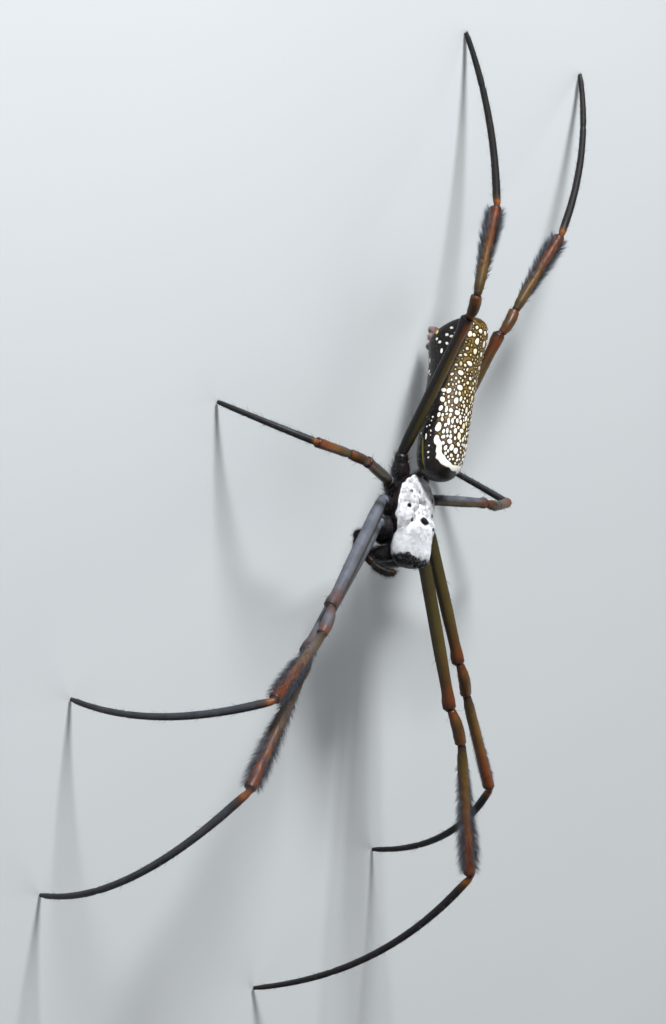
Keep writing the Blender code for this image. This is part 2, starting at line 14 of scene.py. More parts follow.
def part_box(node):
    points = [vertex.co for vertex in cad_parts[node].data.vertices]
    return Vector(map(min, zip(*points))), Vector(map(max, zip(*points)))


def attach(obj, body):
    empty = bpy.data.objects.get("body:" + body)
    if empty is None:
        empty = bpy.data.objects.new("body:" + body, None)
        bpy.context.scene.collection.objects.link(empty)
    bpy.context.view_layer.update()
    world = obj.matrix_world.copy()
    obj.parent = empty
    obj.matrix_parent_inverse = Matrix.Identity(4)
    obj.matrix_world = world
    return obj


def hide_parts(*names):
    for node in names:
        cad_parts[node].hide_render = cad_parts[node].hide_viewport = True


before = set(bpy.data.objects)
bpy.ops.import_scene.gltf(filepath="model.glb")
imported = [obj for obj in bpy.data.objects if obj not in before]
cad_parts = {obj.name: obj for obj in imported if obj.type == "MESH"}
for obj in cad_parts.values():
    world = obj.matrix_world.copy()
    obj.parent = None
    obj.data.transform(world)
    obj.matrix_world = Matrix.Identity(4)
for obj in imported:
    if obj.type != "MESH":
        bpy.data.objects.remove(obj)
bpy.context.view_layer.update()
METRES, MILLIMETRES = 0.001, 1000.0


# %% [markdown]
# ## From millimetres to the model
# The solids were drawn in millimetres about a point under the body. The model's origin is the middle
# of the box round the whole spider, at the height of its feet, so every point is moved there and scaled
# to metres. The cephalothorax and the abdomen have their own tilted frames, and one function for each
# turns its places into the spider's.

# %% Frames of the body
BOX_MIDDLE = np.array([2.55, -1.6, 0.0])
SIDES = ((1, "left"), (-1, "right"))
SIDEWAYS, UPWARD = np.array([1.0, 0.0, 0.0]), np.array([0.0, 0.0, 1.0])
BODY_HEIGHT = 10.4
BODY_PITCH = math.radians(22.8)
ABDOMEN_MIDDLE = np.array([0.0, 13.95, 8.4])
ABDOMEN_PITCH = math.radians(19.1)


def pitched(x, y, z, pitch):
    """Coordinates turned about the X axis: the head end goes up by the pitch."""
    x, y, z = np.broadcast_arrays(x, y, z)
    level, steep = math.cos(pitch), math.sin(pitch)
    return np.stack([x, y * level + z * steep, z * level - y * steep], -1)


def body_place(x, y, z):
    """A place in the cephalothorax's frame, in the spider's millimetres."""
    return pitched(x, y, z, BODY_PITCH) + (0.0, 0.0, BODY_HEIGHT)


def abdomen_place(x, y, z):
    """A place in the abdomen's frame, in the spider's millimetres."""
    return pitched(x, y, z, ABDOMEN_PITCH) + ABDOMEN_MIDDLE


def way_in(place, x, y, z):
    """A direction in the frame of one of those two functions."""
    return place(x, y, z) - place(0.0, 0.0, 0.0)


print("middle of the cephalothorax at", body_place(0.0, 0.0, 0.0), "and of the abdomen at", ABDOMEN_MIDDLE)


# %% [markdown]
# ## Surfaces and hairs as arrays
# A body part is a closed skin: rings of points along its length, joined ring to ring, with a pole at
# each end. A hair is a thin three-sided blade that leaves its root, bends and ends in a point. Both are
# filled into a mesh with foreach_set, which takes a whole array at once, so a hundred thousand faces
# are made in a moment.

# %% Meshes from arrays
def new_object(name, data):
    made = bpy.data.objects.new(name, data)
    bpy.context.scene.collection.objects.link(made)
    return made


def make_piece(name, points, faces, uv, looks, stands_for, uv_name="Surface"):
    """An object from points in millimetres, groups of faces by corner count, and a UV for every corner."""
    mesh = bpy.data.meshes.new(name)
    corners = np.concatenate([group.ravel() for group in faces]).astype(np.int32)
    counts = np.concatenate([np.full(len(group), group.shape[1]) for group in faces])
    mesh.vertices.add(len(points))
    mesh.vertices.foreach_set("co", ((points - BOX_MIDDLE) * METRES).astype(np.float32).ravel())
    mesh.loops.add(len(corners))
    mesh.loops.foreach_set("vertex_index", corners)
    mesh.polygons.add(len(counts))
    mesh.polygons.foreach_set("loop_start", (np.cumsum(counts) - counts).astype(np.int32))
    layer = mesh.uv_layers.new(name=uv_name)
    layer.data.foreach_set("uv", np.asarray(uv, np.float32).ravel())
    mesh.update(calc_edges=True)
    mesh.shade_smooth()
    mesh.materials.append(looks)
    piece = new_object(name, mesh)
    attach(piece, "root")
    if stands_for:
        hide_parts(*stands_for)
    return piece


def paint(piece, **values):
    """Named numbers for every point of a piece, which its material can read as attributes."""
    for name, numbers in values.items():
        attribute = piece.data.attributes.new(name, "FLOAT", "POINT")
        attribute.data.foreach_set("value", np.asarray(numbers, np.float32).ravel())

# %% Closed skins
def skin_arrays(rings):
    """Points, faces and UVs of a closed skin: quads from ring to ring, and a fan to a pole at each end.

    The sum of a . (b x c) over all its triangles is six times its volume, caps included. Where that is
    negative the faces look inward, and all of them are turned over.
    """
    rows, columns = rings.shape[:2]
    poles = np.stack([rings[0].mean(0), rings[-1].mean(0)])
    points = np.concatenate([rings.reshape(-1, 3), poles])
    row, column = np.meshgrid(np.arange(rows - 1), np.arange(columns), indexing="ij")
    beside = (column + 1) % columns
    quads = np.stack([row * columns + column, row * columns + beside,
                      (row + 1) * columns + beside, (row + 1) * columns + column], -1).reshape(-1, 4)
    u0, u1 = column / columns, (column + 1) / columns
    v0, v1 = row / (rows - 1), (row + 1) / (rows - 1)
    quad_uv = np.stack([np.stack([u0, v0], -1), np.stack([u1, v0], -1),
                        np.stack([u1, v1], -1), np.stack([u0, v1], -1)], -2).reshape(-1, 4, 2)
    around = np.arange(columns)
    after = (around + 1) % columns
    last = (rows - 1) * columns
    count = rows * columns
    start = np.stack([np.full(columns, count), after, around], -1)
    end = np.stack([np.full(columns, count + 1), last + around, last + after], -1)
    middle, left, right = (around + 0.5) / columns, around / columns, (around + 1) / columns
    zero, one = np.zeros(columns), np.ones(columns)
    start_uv = np.stack([middle, zero, right, zero, left, zero], -1).reshape(-1, 3, 2)
    end_uv = np.stack([middle, one, left, one, right, one], -1).reshape(-1, 3, 2)
    triangles = np.concatenate([start, end])
    triangle_uv = np.concatenate([start_uv, end_uv])
    closed = np.concatenate([quads[:, :3], quads[:, [0, 2, 3]], triangles])
    a, b, c = (points[closed[:, k]] for k in range(3))
    if np.einsum("ij,ij->", a, np.cross(b, c)) < 0.0:
        quads, quad_uv = quads[:, ::-1], quad_uv[:, ::-1]
        triangles, triangle_uv = triangles[:, ::-1], triangle_uv[:, ::-1]
    return points, [quads, triangles], np.concatenate([quad_uv.reshape(-1, 2), triangle_uv.reshape(-1, 2)])


def make_skin(name, rings, looks, slot, stands_for, **values):
    """A closed skin as one piece, with any painted numbers given ring by ring."""
    points, faces, uv = skin_arrays(rings)
    piece = make_piece(name, points, faces, uv, looks, stands_for)
    for label, numbers in values.items():
        numbers = np.broadcast_to(numbers, rings.shape[:2])
        paint(piece, **{label: np.concatenate([numbers.ravel(), [numbers[0].mean(), numbers[-1].mean()]])})
    return piece


def make_group(name, skins, looks, stands_for):
    """Several closed skins in one piece."""
    made = [skin_arrays(rings) for rings in skins]
    starts = np.cumsum([0] + [len(points) for points, _, _ in made])
    faces = [group + start for (_, groups, _), start in zip(made, starts) for group in groups]
    points = np.concatenate([points for points, _, _ in made])
    return make_piece(name, points, faces, np.concatenate([uv for _, _, uv in made]), looks, stands_for)


# %% [markdown]
# ## Smooth paths and profiles
# Legs, jaws and feelers are profiles carried along a path. A path is a row of points, rounded at its
# corners by averaging each place with its neighbours along the way. Round each place, two directions
# square to the path carry the section: one chosen from a fixed sideways direction, one from the cross
# product.

# %% Paths, profiles and tubes
def eased(stations, at):
    """A value along a profile of (place, value) stations, with a smooth step from each to the next."""
    places, values = (np.array(part, float) for part in zip(*stations))
    at = np.clip(at, places[0], places[-1])
    index = np.clip(np.searchsorted(places, at, side="right"), 1, len(places) - 1)
    share = (at - places[index - 1]) / (places[index] - places[index - 1])
    share = share * share * (3.0 - 2.0 * share)
    return values[index - 1] * (1.0 - share) + values[index] * share


def lengths_along(points):
    """The distance from the first point of a path to each of its points."""
    steps = np.linalg.norm(np.diff(points, axis=0), axis=1)
    return np.concatenate([[0.0], np.cumsum(steps)])


def along_path(points, at, softness):
    """Places on a path at the given distances, each the bell-weighted mean of the path on either side."""
    distance = lengths_along(points)
    offsets = np.linspace(-2.0, 2.0, 9) * softness
    weights = np.exp(-0.5 * (offsets / max(softness, 1e-6)) ** 2)
    weights /= weights.sum()
    out = np.zeros((len(at), 3))
    for offset, weight in zip(offsets, weights):
        near = np.clip(at + offset, 0.0, distance[-1])
        out += weight * np.stack([np.interp(near, distance, points[:, k]) for k in range(3)], -1)
    return out


def unit(vectors):
    return vectors / np.linalg.norm(vectors, axis=-1, keepdims=True)


def frames_along(places, sideways):
    """Along, across and up at each place: across is the sideways direction, made square to the path."""
    way = unit(np.gradient(places, axis=0))
    across = unit(sideways - (way @ sideways)[:, None] * way)
    return way, across, np.cross(across, way)


def tube(places, radius, sideways, columns=20, flat=1.0):
    """Rings round a path: centre, plus radius times the cosine and sine round the section."""
    _, across, up = frames_along(places, sideways)
    turn = np.linspace(0.0, math.tau, columns, endpoint=False)
    out = up[:, None] * np.cos(turn)[:, None] * flat + across[:, None] * np.sin(turn)[:, None]
    return places[:, None] + np.asarray(radius)[:, None, None] * out


def rounded_ends(at, length, reach):
    """One along a tube, falling to nothing at both ends as the edge of a circle does."""
    near = np.clip(np.minimum(at, length - at) / reach, 0.0, 1.0)
    return np.sqrt(np.clip(1.0 - (1.0 - near) ** 2, 0.0, 1.0))


# %% [markdown]
# ## Scattering hairs
# Hairs are rooted in proportion to the skin's area times a density. Each root is a random place in a
# random face, and it remembers the skin's outward normal, its lengthwise direction and its place on
# the unwrap, so that a hair can lean along the coat and be baked from a small patch of its own.

# %% Roots and hairs
def face_vectors(rings):
    """Middle, outward normal with the face's area, and lengthwise direction of every face of a skin."""
    beside = np.roll(rings, -1, axis=1)
    a, b, c, d = rings[:-1], beside[:-1], beside[1:], rings[1:]
    normal = np.cross(c - a, d - b) / 2.0
    if np.einsum("rci,rci->", normal, (a + c) / 2.0 - rings.mean((0, 1))) < 0.0:
        normal = -normal
    return normal, unit(d + c - a - b + 1e-12)


def scatter(rings, density, count, draw):
    """Roots on a skin: place, normal, lengthwise direction, unwrap place, row and column as fractions."""
    normal, way = face_vectors(rings)
    area = np.linalg.norm(normal, axis=-1)
    chance = (area * density).ravel()
    picked = draw.choice(chance.size, count, p=chance / chance.sum())
    row, column = np.unravel_index(picked, area.shape)
    s, t = draw.random(count)[:, None], draw.random(count)[:, None]
    beside = (column + 1) % rings.shape[1]
    near = rings[row, column] * (1 - s) + rings[row, beside] * s
    far = rings[row + 1, column] * (1 - s) + rings[row + 1, beside] * s
    uv = np.stack([(column + s[:, 0]) / rings.shape[1], (row + t[:, 0]) / (rings.shape[0] - 1)], -1)
    return near * (1 - t) + far * t, unit(normal[row, column]), way[row, column], uv, row, column


HAIR_PATCH = 0.003
HAIR_TAPER = 0.7
ASKEW = np.array([0.013, 0.007, 0.003])


def make_hairs(name, roots, ways, bends, length, width, uv, looks, slot, shade=None, steps=2):
    """Blades: centre = root + way * length * t + bend * length * t squared, three-sided and tapered.

    A blade is unwrapped onto a patch of HAIR_PATCH round its root's own place on the skin's unwrap.
    """
    count = len(roots)
    side = unit(np.cross(ways, bends + ASKEW))
    other = np.cross(ways, side)
    t = np.linspace(0.0, 1.0, steps + 1)[:-1]
    length, width = (np.broadcast_to(value, count) for value in (length, width))
    curve = ways[:, None] * t[:, None] + bends[:, None] * t[:, None] ** 2
    centre = roots[:, None] + length[:, None, None] * curve
    radius = width[:, None] / 2.0 * (1.0 - t) ** HAIR_TAPER
    turn = np.arange(3) * math.tau / 3.0
    out = side[:, None] * np.cos(turn)[:, None] + other[:, None] * np.sin(turn)[:, None]
    body = centre[:, :, None] + radius[:, :, None, None] * out[:, None]
    tips = roots + length[:, None] * (ways + bends)
    each = 3 * steps + 1
    points = np.concatenate([body.reshape(count, -1, 3), tips[:, None]], 1).reshape(-1, 3)
    ring = np.arange(3)
    beside = (ring + 1) % 3
    quads = [np.stack([ring, beside, beside + 3, ring + 3], -1) + 3 * k for k in range(steps - 1)]
    last = 3 * (steps - 1)
    ends = np.concatenate([np.stack([ring + last, beside + last, np.full(3, each - 1)], -1), [[2, 1, 0]]])
    starts = np.arange(count)[:, None, None] * each
    faces = [(np.concatenate(group) + starts).reshape(-1, corners)
             for group, corners in ((quads, 4), ([ends], 3)) if group]
    where = np.stack([np.concatenate([np.tile(ring - 1.0, steps), [0.0]]) * HAIR_PATCH / 2.0,
                      np.concatenate([np.repeat(t, 3), [1.0]]) * HAIR_PATCH - HAIR_PATCH / 2.0], -1)
    point_uv = (uv[:, None] + where).reshape(-1, 2)
    corners = np.concatenate([group.ravel() for group in faces])
    piece = make_piece(name, points, faces, point_uv[corners], looks, (), "OFBake")
    if shade is not None:
        paint(piece, shade=np.repeat(shade, each))
    return piece


# %% [markdown]
# ## Camera, light and floor
# The camera stands where the photograph was taken from, once the plane of the feet is laid flat as the
# floor: on the spider's right, looking down at about 38 degrees, and turned about its own axis. The main
# light is low behind the spider's right side, so that the abdomen shades the carapace's left rear.
# Two broad, weak lights and a dim sky fill the shadows. The floor is plain and pale.

# %% Camera, light and floor
CAMERA_PLACE = (-0.3489, -0.0066, 0.2745)
CAMERA_AXES = ((0.5619, 0.4147, 0.7158), (-0.2660, 0.9099, -0.3183), (-0.7833, -0.0115, 0.6215))
LIT_PLACE = Vector((0.0, 0.0, 0.008))
FLOOR_REACH = 2.0

camera_data = bpy.data.cameras.new("camera")
camera_data.lens = 135.0
camera_data.sensor_width = 36.0
camera_data.clip_start = 0.01
camera_data.clip_end = 10.0
camera = new_object("camera", camera_data)
camera.matrix_world = Matrix.Translation(CAMERA_PLACE) @ Matrix(CAMERA_AXES).transposed().to_4x4()
bpy.context.scene.camera = camera

world = bpy.data.worlds.new("studio")
world.use_nodes = True
sky = world.node_tree.nodes["Background"]
sky.inputs["Color"].default_value = (0.86, 0.92, 1.0, 1.0)
sky.inputs["Strength"].default_value = 0.1
bpy.context.scene.world = world
bpy.context.scene.view_settings.view_transform = "Standard"


def add_light(name, place, size, power, colour):
    """A square soft light that looks at the middle of the model."""
    data = bpy.data.lights.new(name, "AREA")
    data.size = size
    data.energy = power
    data.color = colour
    lamp = new_object(name, data)
    lamp.location = place
    lamp.rotation_euler = (LIT_PLACE - Vector(place)).to_track_quat("-Z", "Y").to_euler()


add_light("sky", (-0.3, 0.42, 0.21), 0.1, 7.0, (0.94, 0.97, 1.0))
add_light("fill", (-0.35, -0.3, 0.35), 0.5, 0.5, (0.92, 0.96, 1.0))
add_light("far_fill", (0.45, -0.05, 0.32), 0.5, 1.2, (0.96, 0.98, 1.0))

floor_mesh = bpy.data.meshes.new("floor")
corners = [(x * FLOOR_REACH, y * FLOOR_REACH, 0.0) for x, y in ((-1, -1), (1, -1), (1, 1), (-1, 1))]
floor_mesh.from_pydata(corners, [], [(0, 1, 2, 3)])
floor = new_object("floor", floor_mesh)
print("camera:", camera_data.lens, "mm lens, lights:", len(bpy.data.lights))

# %% [markdown]
# ## Cuticle: what the materials share
# A spider's armour is a thin, slightly uneven varnish: fine pores and wrinkles that break up the gloss,
# and soft patches a little darker or lighter. One node group makes both from the Object coordinates, so
# that every glossy material can use it at its own scale.

# %% Node helpers and the cuticle group
def add_node(tree, kind, inputs=(), **settings):
    """A shader node with its settings and plain input values."""
    made = tree.nodes.new(kind)
    for key, value in settings.items():
        setattr(made, key, value)
    for key, value in dict(inputs).items():
        made.inputs[key].default_value = value
    return made


def join(tree, source, target):
    tree.links.new(source, target)


def maths(tree, operation, first, second=None, third=None, clamp=False):
    """A Math node whose inputs are numbers or other nodes' outputs."""
    made = add_node(tree, "ShaderNodeMath", operation=operation, use_clamp=clamp)
    for socket, value in zip(made.inputs, (first, second, third)):
        if isinstance(value, (int, float)):
            socket.default_value = value
        elif value is not None:
            join(tree, value, socket)
    return made.outputs[0]


def blend_colours(tree, share, first, second):
    """A Mix node between two colours: each a tuple or another node's output."""
    made = add_node(tree, "ShaderNodeMix", data_type="RGBA")
    for socket, value in ((made.inputs[0], share), (made.inputs[6], first), (made.inputs[7], second)):
        if isinstance(value, (int, float)):
            socket.default_value = value
        elif isinstance(value, tuple):
            socket.default_value = (*value, 1.0)
        else:
            join(tree, value, socket)
    return made.outputs[2]


def read_number(tree, name):
    return add_node(tree, "ShaderNodeAttribute", attribute_name=name).outputs["Fac"]


def object_place(tree):
    return add_node(tree, "ShaderNodeTexCoord").outputs["Object"]


def noise(tree, place, scale, **inputs):
    """The value of a noise texture at a place, with its scale per metre."""
    made = add_node(tree, "ShaderNodeTexNoise", {"Scale": scale, **inputs})
    join(tree, place, made.inputs["Vector"])
    return made.outputs[0]


def soft_step(tree, value, low, high):
    """Zero below the low value, one above the high one, and smooth in between."""
    limits = {"From Min": low, "From Max": high}
    made = add_node(tree, "ShaderNodeMapRange", limits, interpolation_type="SMOOTHSTEP")
    join(tree, value, made.inputs["Value"])
    return made.outputs["Result"]

# %% The cuticle group
def make_cuticle_group():
    """Object coordinates to a Height of pores and wrinkles, and a Tone of soft patches from 0 to 1."""
    tree = bpy.data.node_groups.new("Cuticle grain", "ShaderNodeTree")
    tree.interface.new_socket("Scale", in_out="INPUT", socket_type="NodeSocketFloat").default_value = 1.0
    tree.interface.new_socket("Height", in_out="OUTPUT", socket_type="NodeSocketFloat")
    tree.interface.new_socket("Tone", in_out="OUTPUT", socket_type="NodeSocketFloat")
    inner, outer = add_node(tree, "NodeGroupInput"), add_node(tree, "NodeGroupOutput")
    sized = add_node(tree, "ShaderNodeVectorMath", operation="SCALE")
    join(tree, object_place(tree), sized.inputs[0])
    join(tree, inner.outputs["Scale"], sized.inputs["Scale"])
    wrinkles = noise(tree, sized.outputs[0], 9000.0, Detail=4.0, Roughness=0.6)
    pores = add_node(tree, "ShaderNodeTexVoronoi", {"Scale": 16000.0}, feature="F1")
    join(tree, sized.outputs[0], pores.inputs["Vector"])
    pits = soft_step(tree, pores.outputs["Distance"], 0.05, 0.45)
    join(tree, maths(tree, "ADD", maths(tree, "MULTIPLY", pits, 0.35), wrinkles), outer.inputs["Height"])
    join(tree, noise(tree, sized.outputs[0], 900.0, Detail=3.0), outer.inputs["Tone"])
    return tree


cuticle_group = make_cuticle_group()

# %% Shared materials
def new_material(name, **plain):
    """A material with a Principled shader, its plain values set on the sockets themselves."""
    made = bpy.data.materials.new(name)
    made.use_nodes = True
    shader = made.node_tree.nodes["Principled BSDF"]
    for key, value in plain.items():
        shader.inputs[key.replace("_", " ")].default_value = value
    return made, made.node_tree, shader


def add_grain(tree, shader, scale, depth, extra_height=None):
    """The cuticle group in a material: its height as a bump, and its tone as an output."""
    grain = add_node(tree, "ShaderNodeGroup", node_tree=cuticle_group)
    grain.inputs["Scale"].default_value = scale
    bump = add_node(tree, "ShaderNodeBump", {"Strength": depth, "Distance": 0.00002})
    height = grain.outputs["Height"]
    if extra_height is not None:
        height = maths(tree, "ADD", height, extra_height)
    join(tree, height, bump.inputs["Height"])
    join(tree, bump.outputs["Normal"], shader.inputs["Normal"])
    return grain.outputs["Tone"]


def plain_cuticle(name, dark, light, roughness, coat):
    """Glossy cuticle between two close colours, mixed by the grain's soft patches."""
    made, tree, shader = new_material(name, Coat_Weight=coat, Coat_Roughness=0.2, Specular_IOR_Level=0.16)
    tone = add_grain(tree, shader, 1.0, 0.25)
    patches = soft_step(tree, tone, 0.35, 0.65)
    join(tree, blend_colours(tree, patches, dark, light), shader.inputs["Base Color"])
    join(tree, maths(tree, "MULTIPLY_ADD", tone, 0.15, roughness - 0.07), shader.inputs["Roughness"])
    return made


black_cuticle = plain_cuticle("black_cuticle", (0.0015, 0.0012, 0.0015), (0.006, 0.004, 0.004), 0.27, 0.08)
brown_cuticle = plain_cuticle("brown_cuticle", (0.012, 0.006, 0.005), (0.045, 0.016, 0.009), 0.32, 0.25)
rosy_cuticle = plain_cuticle("rosy_cuticle", (0.09, 0.048, 0.044), (0.24, 0.155, 0.145), 0.45, 0.1)
claw_cuticle = plain_cuticle("claw_cuticle", (0.012, 0.008, 0.006), (0.03, 0.016, 0.01), 0.25, 0.4)
print("shared materials:", len(bpy.data.materials))

# %% [markdown]
# ## Hair
# The stiff hairs are blue-black and shiny, so they show as dark strokes with a cool edge. The felt of
# the carapace is silver-white and dull, and a painted shade darkens it towards the bare spots.

# %% Hair materials
def hair_material(name, root, tip, roughness, sheen):
    """Hair whose colour runs from one to the other by the painted shade."""
    made, tree, shader = new_material(name, Roughness=roughness, Sheen_Weight=sheen, Sheen_Roughness=0.4,
                                      Specular_IOR_Level=0.2)
    patches = noise(tree, object_place(tree), 2500.0)
    shade = maths(tree, "ADD", read_number(tree, "shade"), -0.15)
    share = maths(tree, "MULTIPLY_ADD", patches, 0.3, shade)
    share = maths(tree, "ADD", share, 0.0, clamp=True)
    join(tree, blend_colours(tree, share, root, tip), shader.inputs["Base Color"])
    return made


dark_hair = hair_material("dark_hair", (0.006, 0.006, 0.008), (0.08, 0.094, 0.12), 0.45, 0.15)
silver_hair = hair_material("silver_hair", (0.06, 0.06, 0.062), (0.86, 0.86, 0.87), 0.6, 0.25)
pale_hair = hair_material("pale_hair", (0.02, 0.016, 0.014), (0.36, 0.33, 0.3), 0.5, 0.1)
print("materials with the three of hair:", len(bpy.data.materials))

# %% [markdown]
# ## The cephalothorax
# The head and thorax are one shield. Across it, a section is a low dome over sides that slope in to
# the underside; along it, the thorax is an ellipse and the head a blunter one, blended where they
# meet. A pit in the middle, two grooves round the head and a pair of small humps are added as bells.
# The skin lies a little inside the solid, and the felt of short hair brings it back out.

# %% The carapace's skin
THORAX = {"centre": 1.0, "length": 4.0, "width": 3.75, "height": 1.55}
HEAD = {"centre": -2.8, "length": 3.1, "width": 2.85, "height": 2.3}
UNDERSIDE_DEPTH = 1.75
CARAPACE_RIM = -0.1
FOVEA = 1.5
GROOVE_REACH = (2.5, -1.9)


def lobe(place, part, roundness):
    """One along the middle of a lobe, falling to nothing at its ends as a rounded power."""
    away = np.minimum(np.abs(place - part["centre"]) / part["length"], 1.0)
    return np.sqrt(1.0 - away**roundness)


def smooth_max(first, second):
    return (first**5 + second**5) ** 0.2


def bell(x, width):
    return np.exp(-((x / width) ** 2))


def carapace_relief(x, y):
    """The pit, the grooves that run from it round the head, shallow rays and the humps."""
    length = math.hypot(GROOVE_REACH[0], GROOVE_REACH[1] - FOVEA)
    along = (np.abs(x) * GROOVE_REACH[0] + (y - FOVEA) * (GROOVE_REACH[1] - FOVEA)) / length
    across = (np.abs(x) * (GROOVE_REACH[1] - FOVEA) - (y - FOVEA) * GROOVE_REACH[0]) / length
    inside = 1.0 / (1.0 + np.exp(-4.0 * along)) * (1.0 / (1.0 + np.exp(4.0 * (along - length))))
    groove = 0.32 * inside * bell(across, 0.4)
    pit = 0.3 * bell(x, 0.7) * bell(y - FOVEA, 0.35)
    turn = np.arctan2(np.abs(x), y - FOVEA)
    away = np.hypot(x, y - FOVEA)
    rays = 0.06 * np.maximum(np.cos(turn * 7.0), 0.0) ** 4 * bell(away - 2.0, 0.9) * (y > -1.0)
    hump = 0.3 * bell(np.abs(x) - 0.72, 0.3) * bell(y - 0.35, 0.35)
    return hump - groove - pit - rays


def carapace_rings(rows=210, columns=220, inset=0.05):
    """A grid: rows from the front to the rear, columns round each section, set in by the coat's depth."""
    front, rear = HEAD["centre"] - HEAD["length"], THORAX["centre"] + THORAX["length"]
    y = (front + rear) / 2 - (rear - front) / 2 * np.cos(np.linspace(0.035, math.pi - 0.035, rows))[:, None]
    turn = np.linspace(0.0, math.tau, columns, endpoint=False)[None]
    thorax, head = lobe(y, THORAX, 2.0), lobe(y, HEAD, 5.0)
    whole = smooth_max(thorax, head)
    half = smooth_max(THORAX["width"] * thorax, HEAD["width"] * head) - inset
    top = smooth_max(THORAX["height"] * lobe(y, THORAX, 3.0), HEAD["height"] * head) - inset
    across, up = np.cos(turn), np.sin(turn)
    over = up >= 0.0
    x_over = half * np.sign(across) * np.abs(across) ** 0.9
    x_under = half * across * (1.0 - 0.42 * np.abs(up) ** 1.5)
    relief = carapace_relief(x_over, y) * np.clip(up * 2.0, 0.0, 1.0) * np.clip(whole * 1.5, 0.0, 1.0)
    z_over = CARAPACE_RIM + top * np.abs(up) ** 0.85 + relief
    z_under = CARAPACE_RIM - (UNDERSIDE_DEPTH * whole - inset) * np.abs(up) ** 0.9
    x, z = np.where(over, x_over, x_under), np.where(over, z_over, z_under)
    y, up = np.broadcast_to(y, x.shape), np.broadcast_to(up, x.shape)
    return body_place(x, y, z), x, y, up

# %% Where the felt lies
FELT_EDGE = (
    (-6.0, 0.4), (-4.6, -0.35), (-3.8, -0.5), (-2.9, -0.12), (-2.2, 0.12), (-1.0, 0.08), (-0.3, 0.1),
    (0.5, 0.24), (2.0, 0.28), (3.0, 0.3), (3.7, 0.42), (5.0, 0.7))
BARE_PATCHES = ((2.2, -0.98, 0.24, 0.28, 0.85), (2.37, 0.69, 0.34, 0.26, 0.95),
                (2.17, 2.45, 0.36, 0.36, 0.65), (1.35, 1.5, 0.3, 0.45, 0.4), (0.95, 2.7, 0.22, 0.4, 0.35))


def ripples(x, y, z, seed, count=24, finest=9.0):
    """A smooth random field from -1 to 1: the sum of waves in random directions."""
    draw = np.random.default_rng(seed)
    turns = unit(draw.normal(size=(count, 3))) * draw.uniform(1.0, finest, count)[:, None]
    start = draw.uniform(0.0, math.tau, count)
    total = sum(np.sin(x * a + y * b + z * c + s) for (a, b, c), s in zip(turns, start))
    return total / math.sqrt(count) * 1.2


def felt_cover(x, y, up, spread=1.0):
    """How much felt lies at a place: a ragged edge low on the sides and in front, and bare patches.

    A patch takes away its depth times exp(-0.8 d^3), where d is the distance from its middle in its own
    half sizes, divided by the spread. The largest patch lies askew across the middle.
    """
    ragged = ripples(x, y, up * 3.0, 5)
    side = (up - eased(FELT_EDGE, y)) / 0.1 + 0.35 * ragged
    front = (y + 5.05 - 0.1 * np.abs(x)) / 0.12 + 0.6 * ragged
    cover = np.clip(np.minimum(side, front) + 0.5, 0.0, 1.0)
    for place, along, wide, long, depth in BARE_PATCHES:
        away = (((np.abs(x) - place) / wide) ** 2 + ((y - along) / long) ** 2) / spread**2
        cover = cover * (1.0 - depth * np.exp(-(away**1.5) * 0.8))
    across, along = x + 0.2, y + 0.65
    pit = ((across / 0.95) ** 2 + ((along - 0.25 * across) / 0.54) ** 2) / spread**1.2
    cover = cover * (1.0 - np.exp(-(pit**1.5) * 0.8))
    thin = np.clip(ripples(x, y, 0.0 * up, 9, 20, 7.0), 0.0, 1.0) * np.clip((y + 2.4) / 0.8, 0.0, 1.0)
    return cover * (1.0 - 0.42 * thin)

# %% The carapace's material and piece
carapace_looks, tree, shader = new_material("silver_felt", Coat_Roughness=0.2, Specular_IOR_Level=0.12)
place = object_place(tree)
fibres = noise(tree, place, 6000.0, Detail=5.0, Roughness=0.7, Distortion=1.2)
clumps = noise(tree, place, 1400.0, Detail=3.0, Distortion=0.8)
from_middle = maths(tree, "SUBTRACT", fibres, 0.5)
ragged = maths(tree, "MULTIPLY_ADD", from_middle, 0.9, read_number(tree, "felt"))
cover = soft_step(tree, ragged, 0.3, 0.62)
white = blend_colours(tree, soft_step(tree, clumps, 0.3, 0.6), (0.32, 0.32, 0.33), (0.78, 0.78, 0.79))
bare = blend_colours(tree, soft_step(tree, clumps, 0.4, 0.7), (0.003, 0.0025, 0.003), (0.012, 0.007, 0.006))
join(tree, blend_colours(tree, cover, bare, white), shader.inputs["Base Color"])
join(tree, maths(tree, "MULTIPLY_ADD", cover, 0.25, 0.42), shader.inputs["Roughness"])
join(tree, maths(tree, "MULTIPLY_ADD", cover, -0.06, 0.06), shader.inputs["Coat Weight"])
add_grain(tree, shader, 1.0, 0.5, maths(tree, "MULTIPLY", maths(tree, "MULTIPLY", cover, 5.0), fibres))

carapace_grid, shield_x, shield_y, shield_up = carapace_rings()
shield_felt = felt_cover(shield_x, shield_y, shield_up)
make_skin("carapace", carapace_grid, carapace_looks, "silver_hair", ("cephalothorax",), felt=shield_felt)
print("carapace:", carapace_grid.shape[:2], "felt covers", round(float(shield_felt.mean()), 2))

# %% [markdown]
# ## Silver felt
# The felt is made of short white hairs that lie almost flat, pointing to the middle and the front. The
# skin already carries the white in its colour, so the hairs are few enough to be light: they break the
# surface, cast the small shadows between the tufts and make the edge ragged.

# %% The felt and the head's bristles
def of_faces(values):
    """A value for every face of a grid, from its corners."""
    beside = np.roll(values, -1, axis=1)
    return (values[:-1] + beside[:-1] + values[1:] + beside[1:]) / 4.0


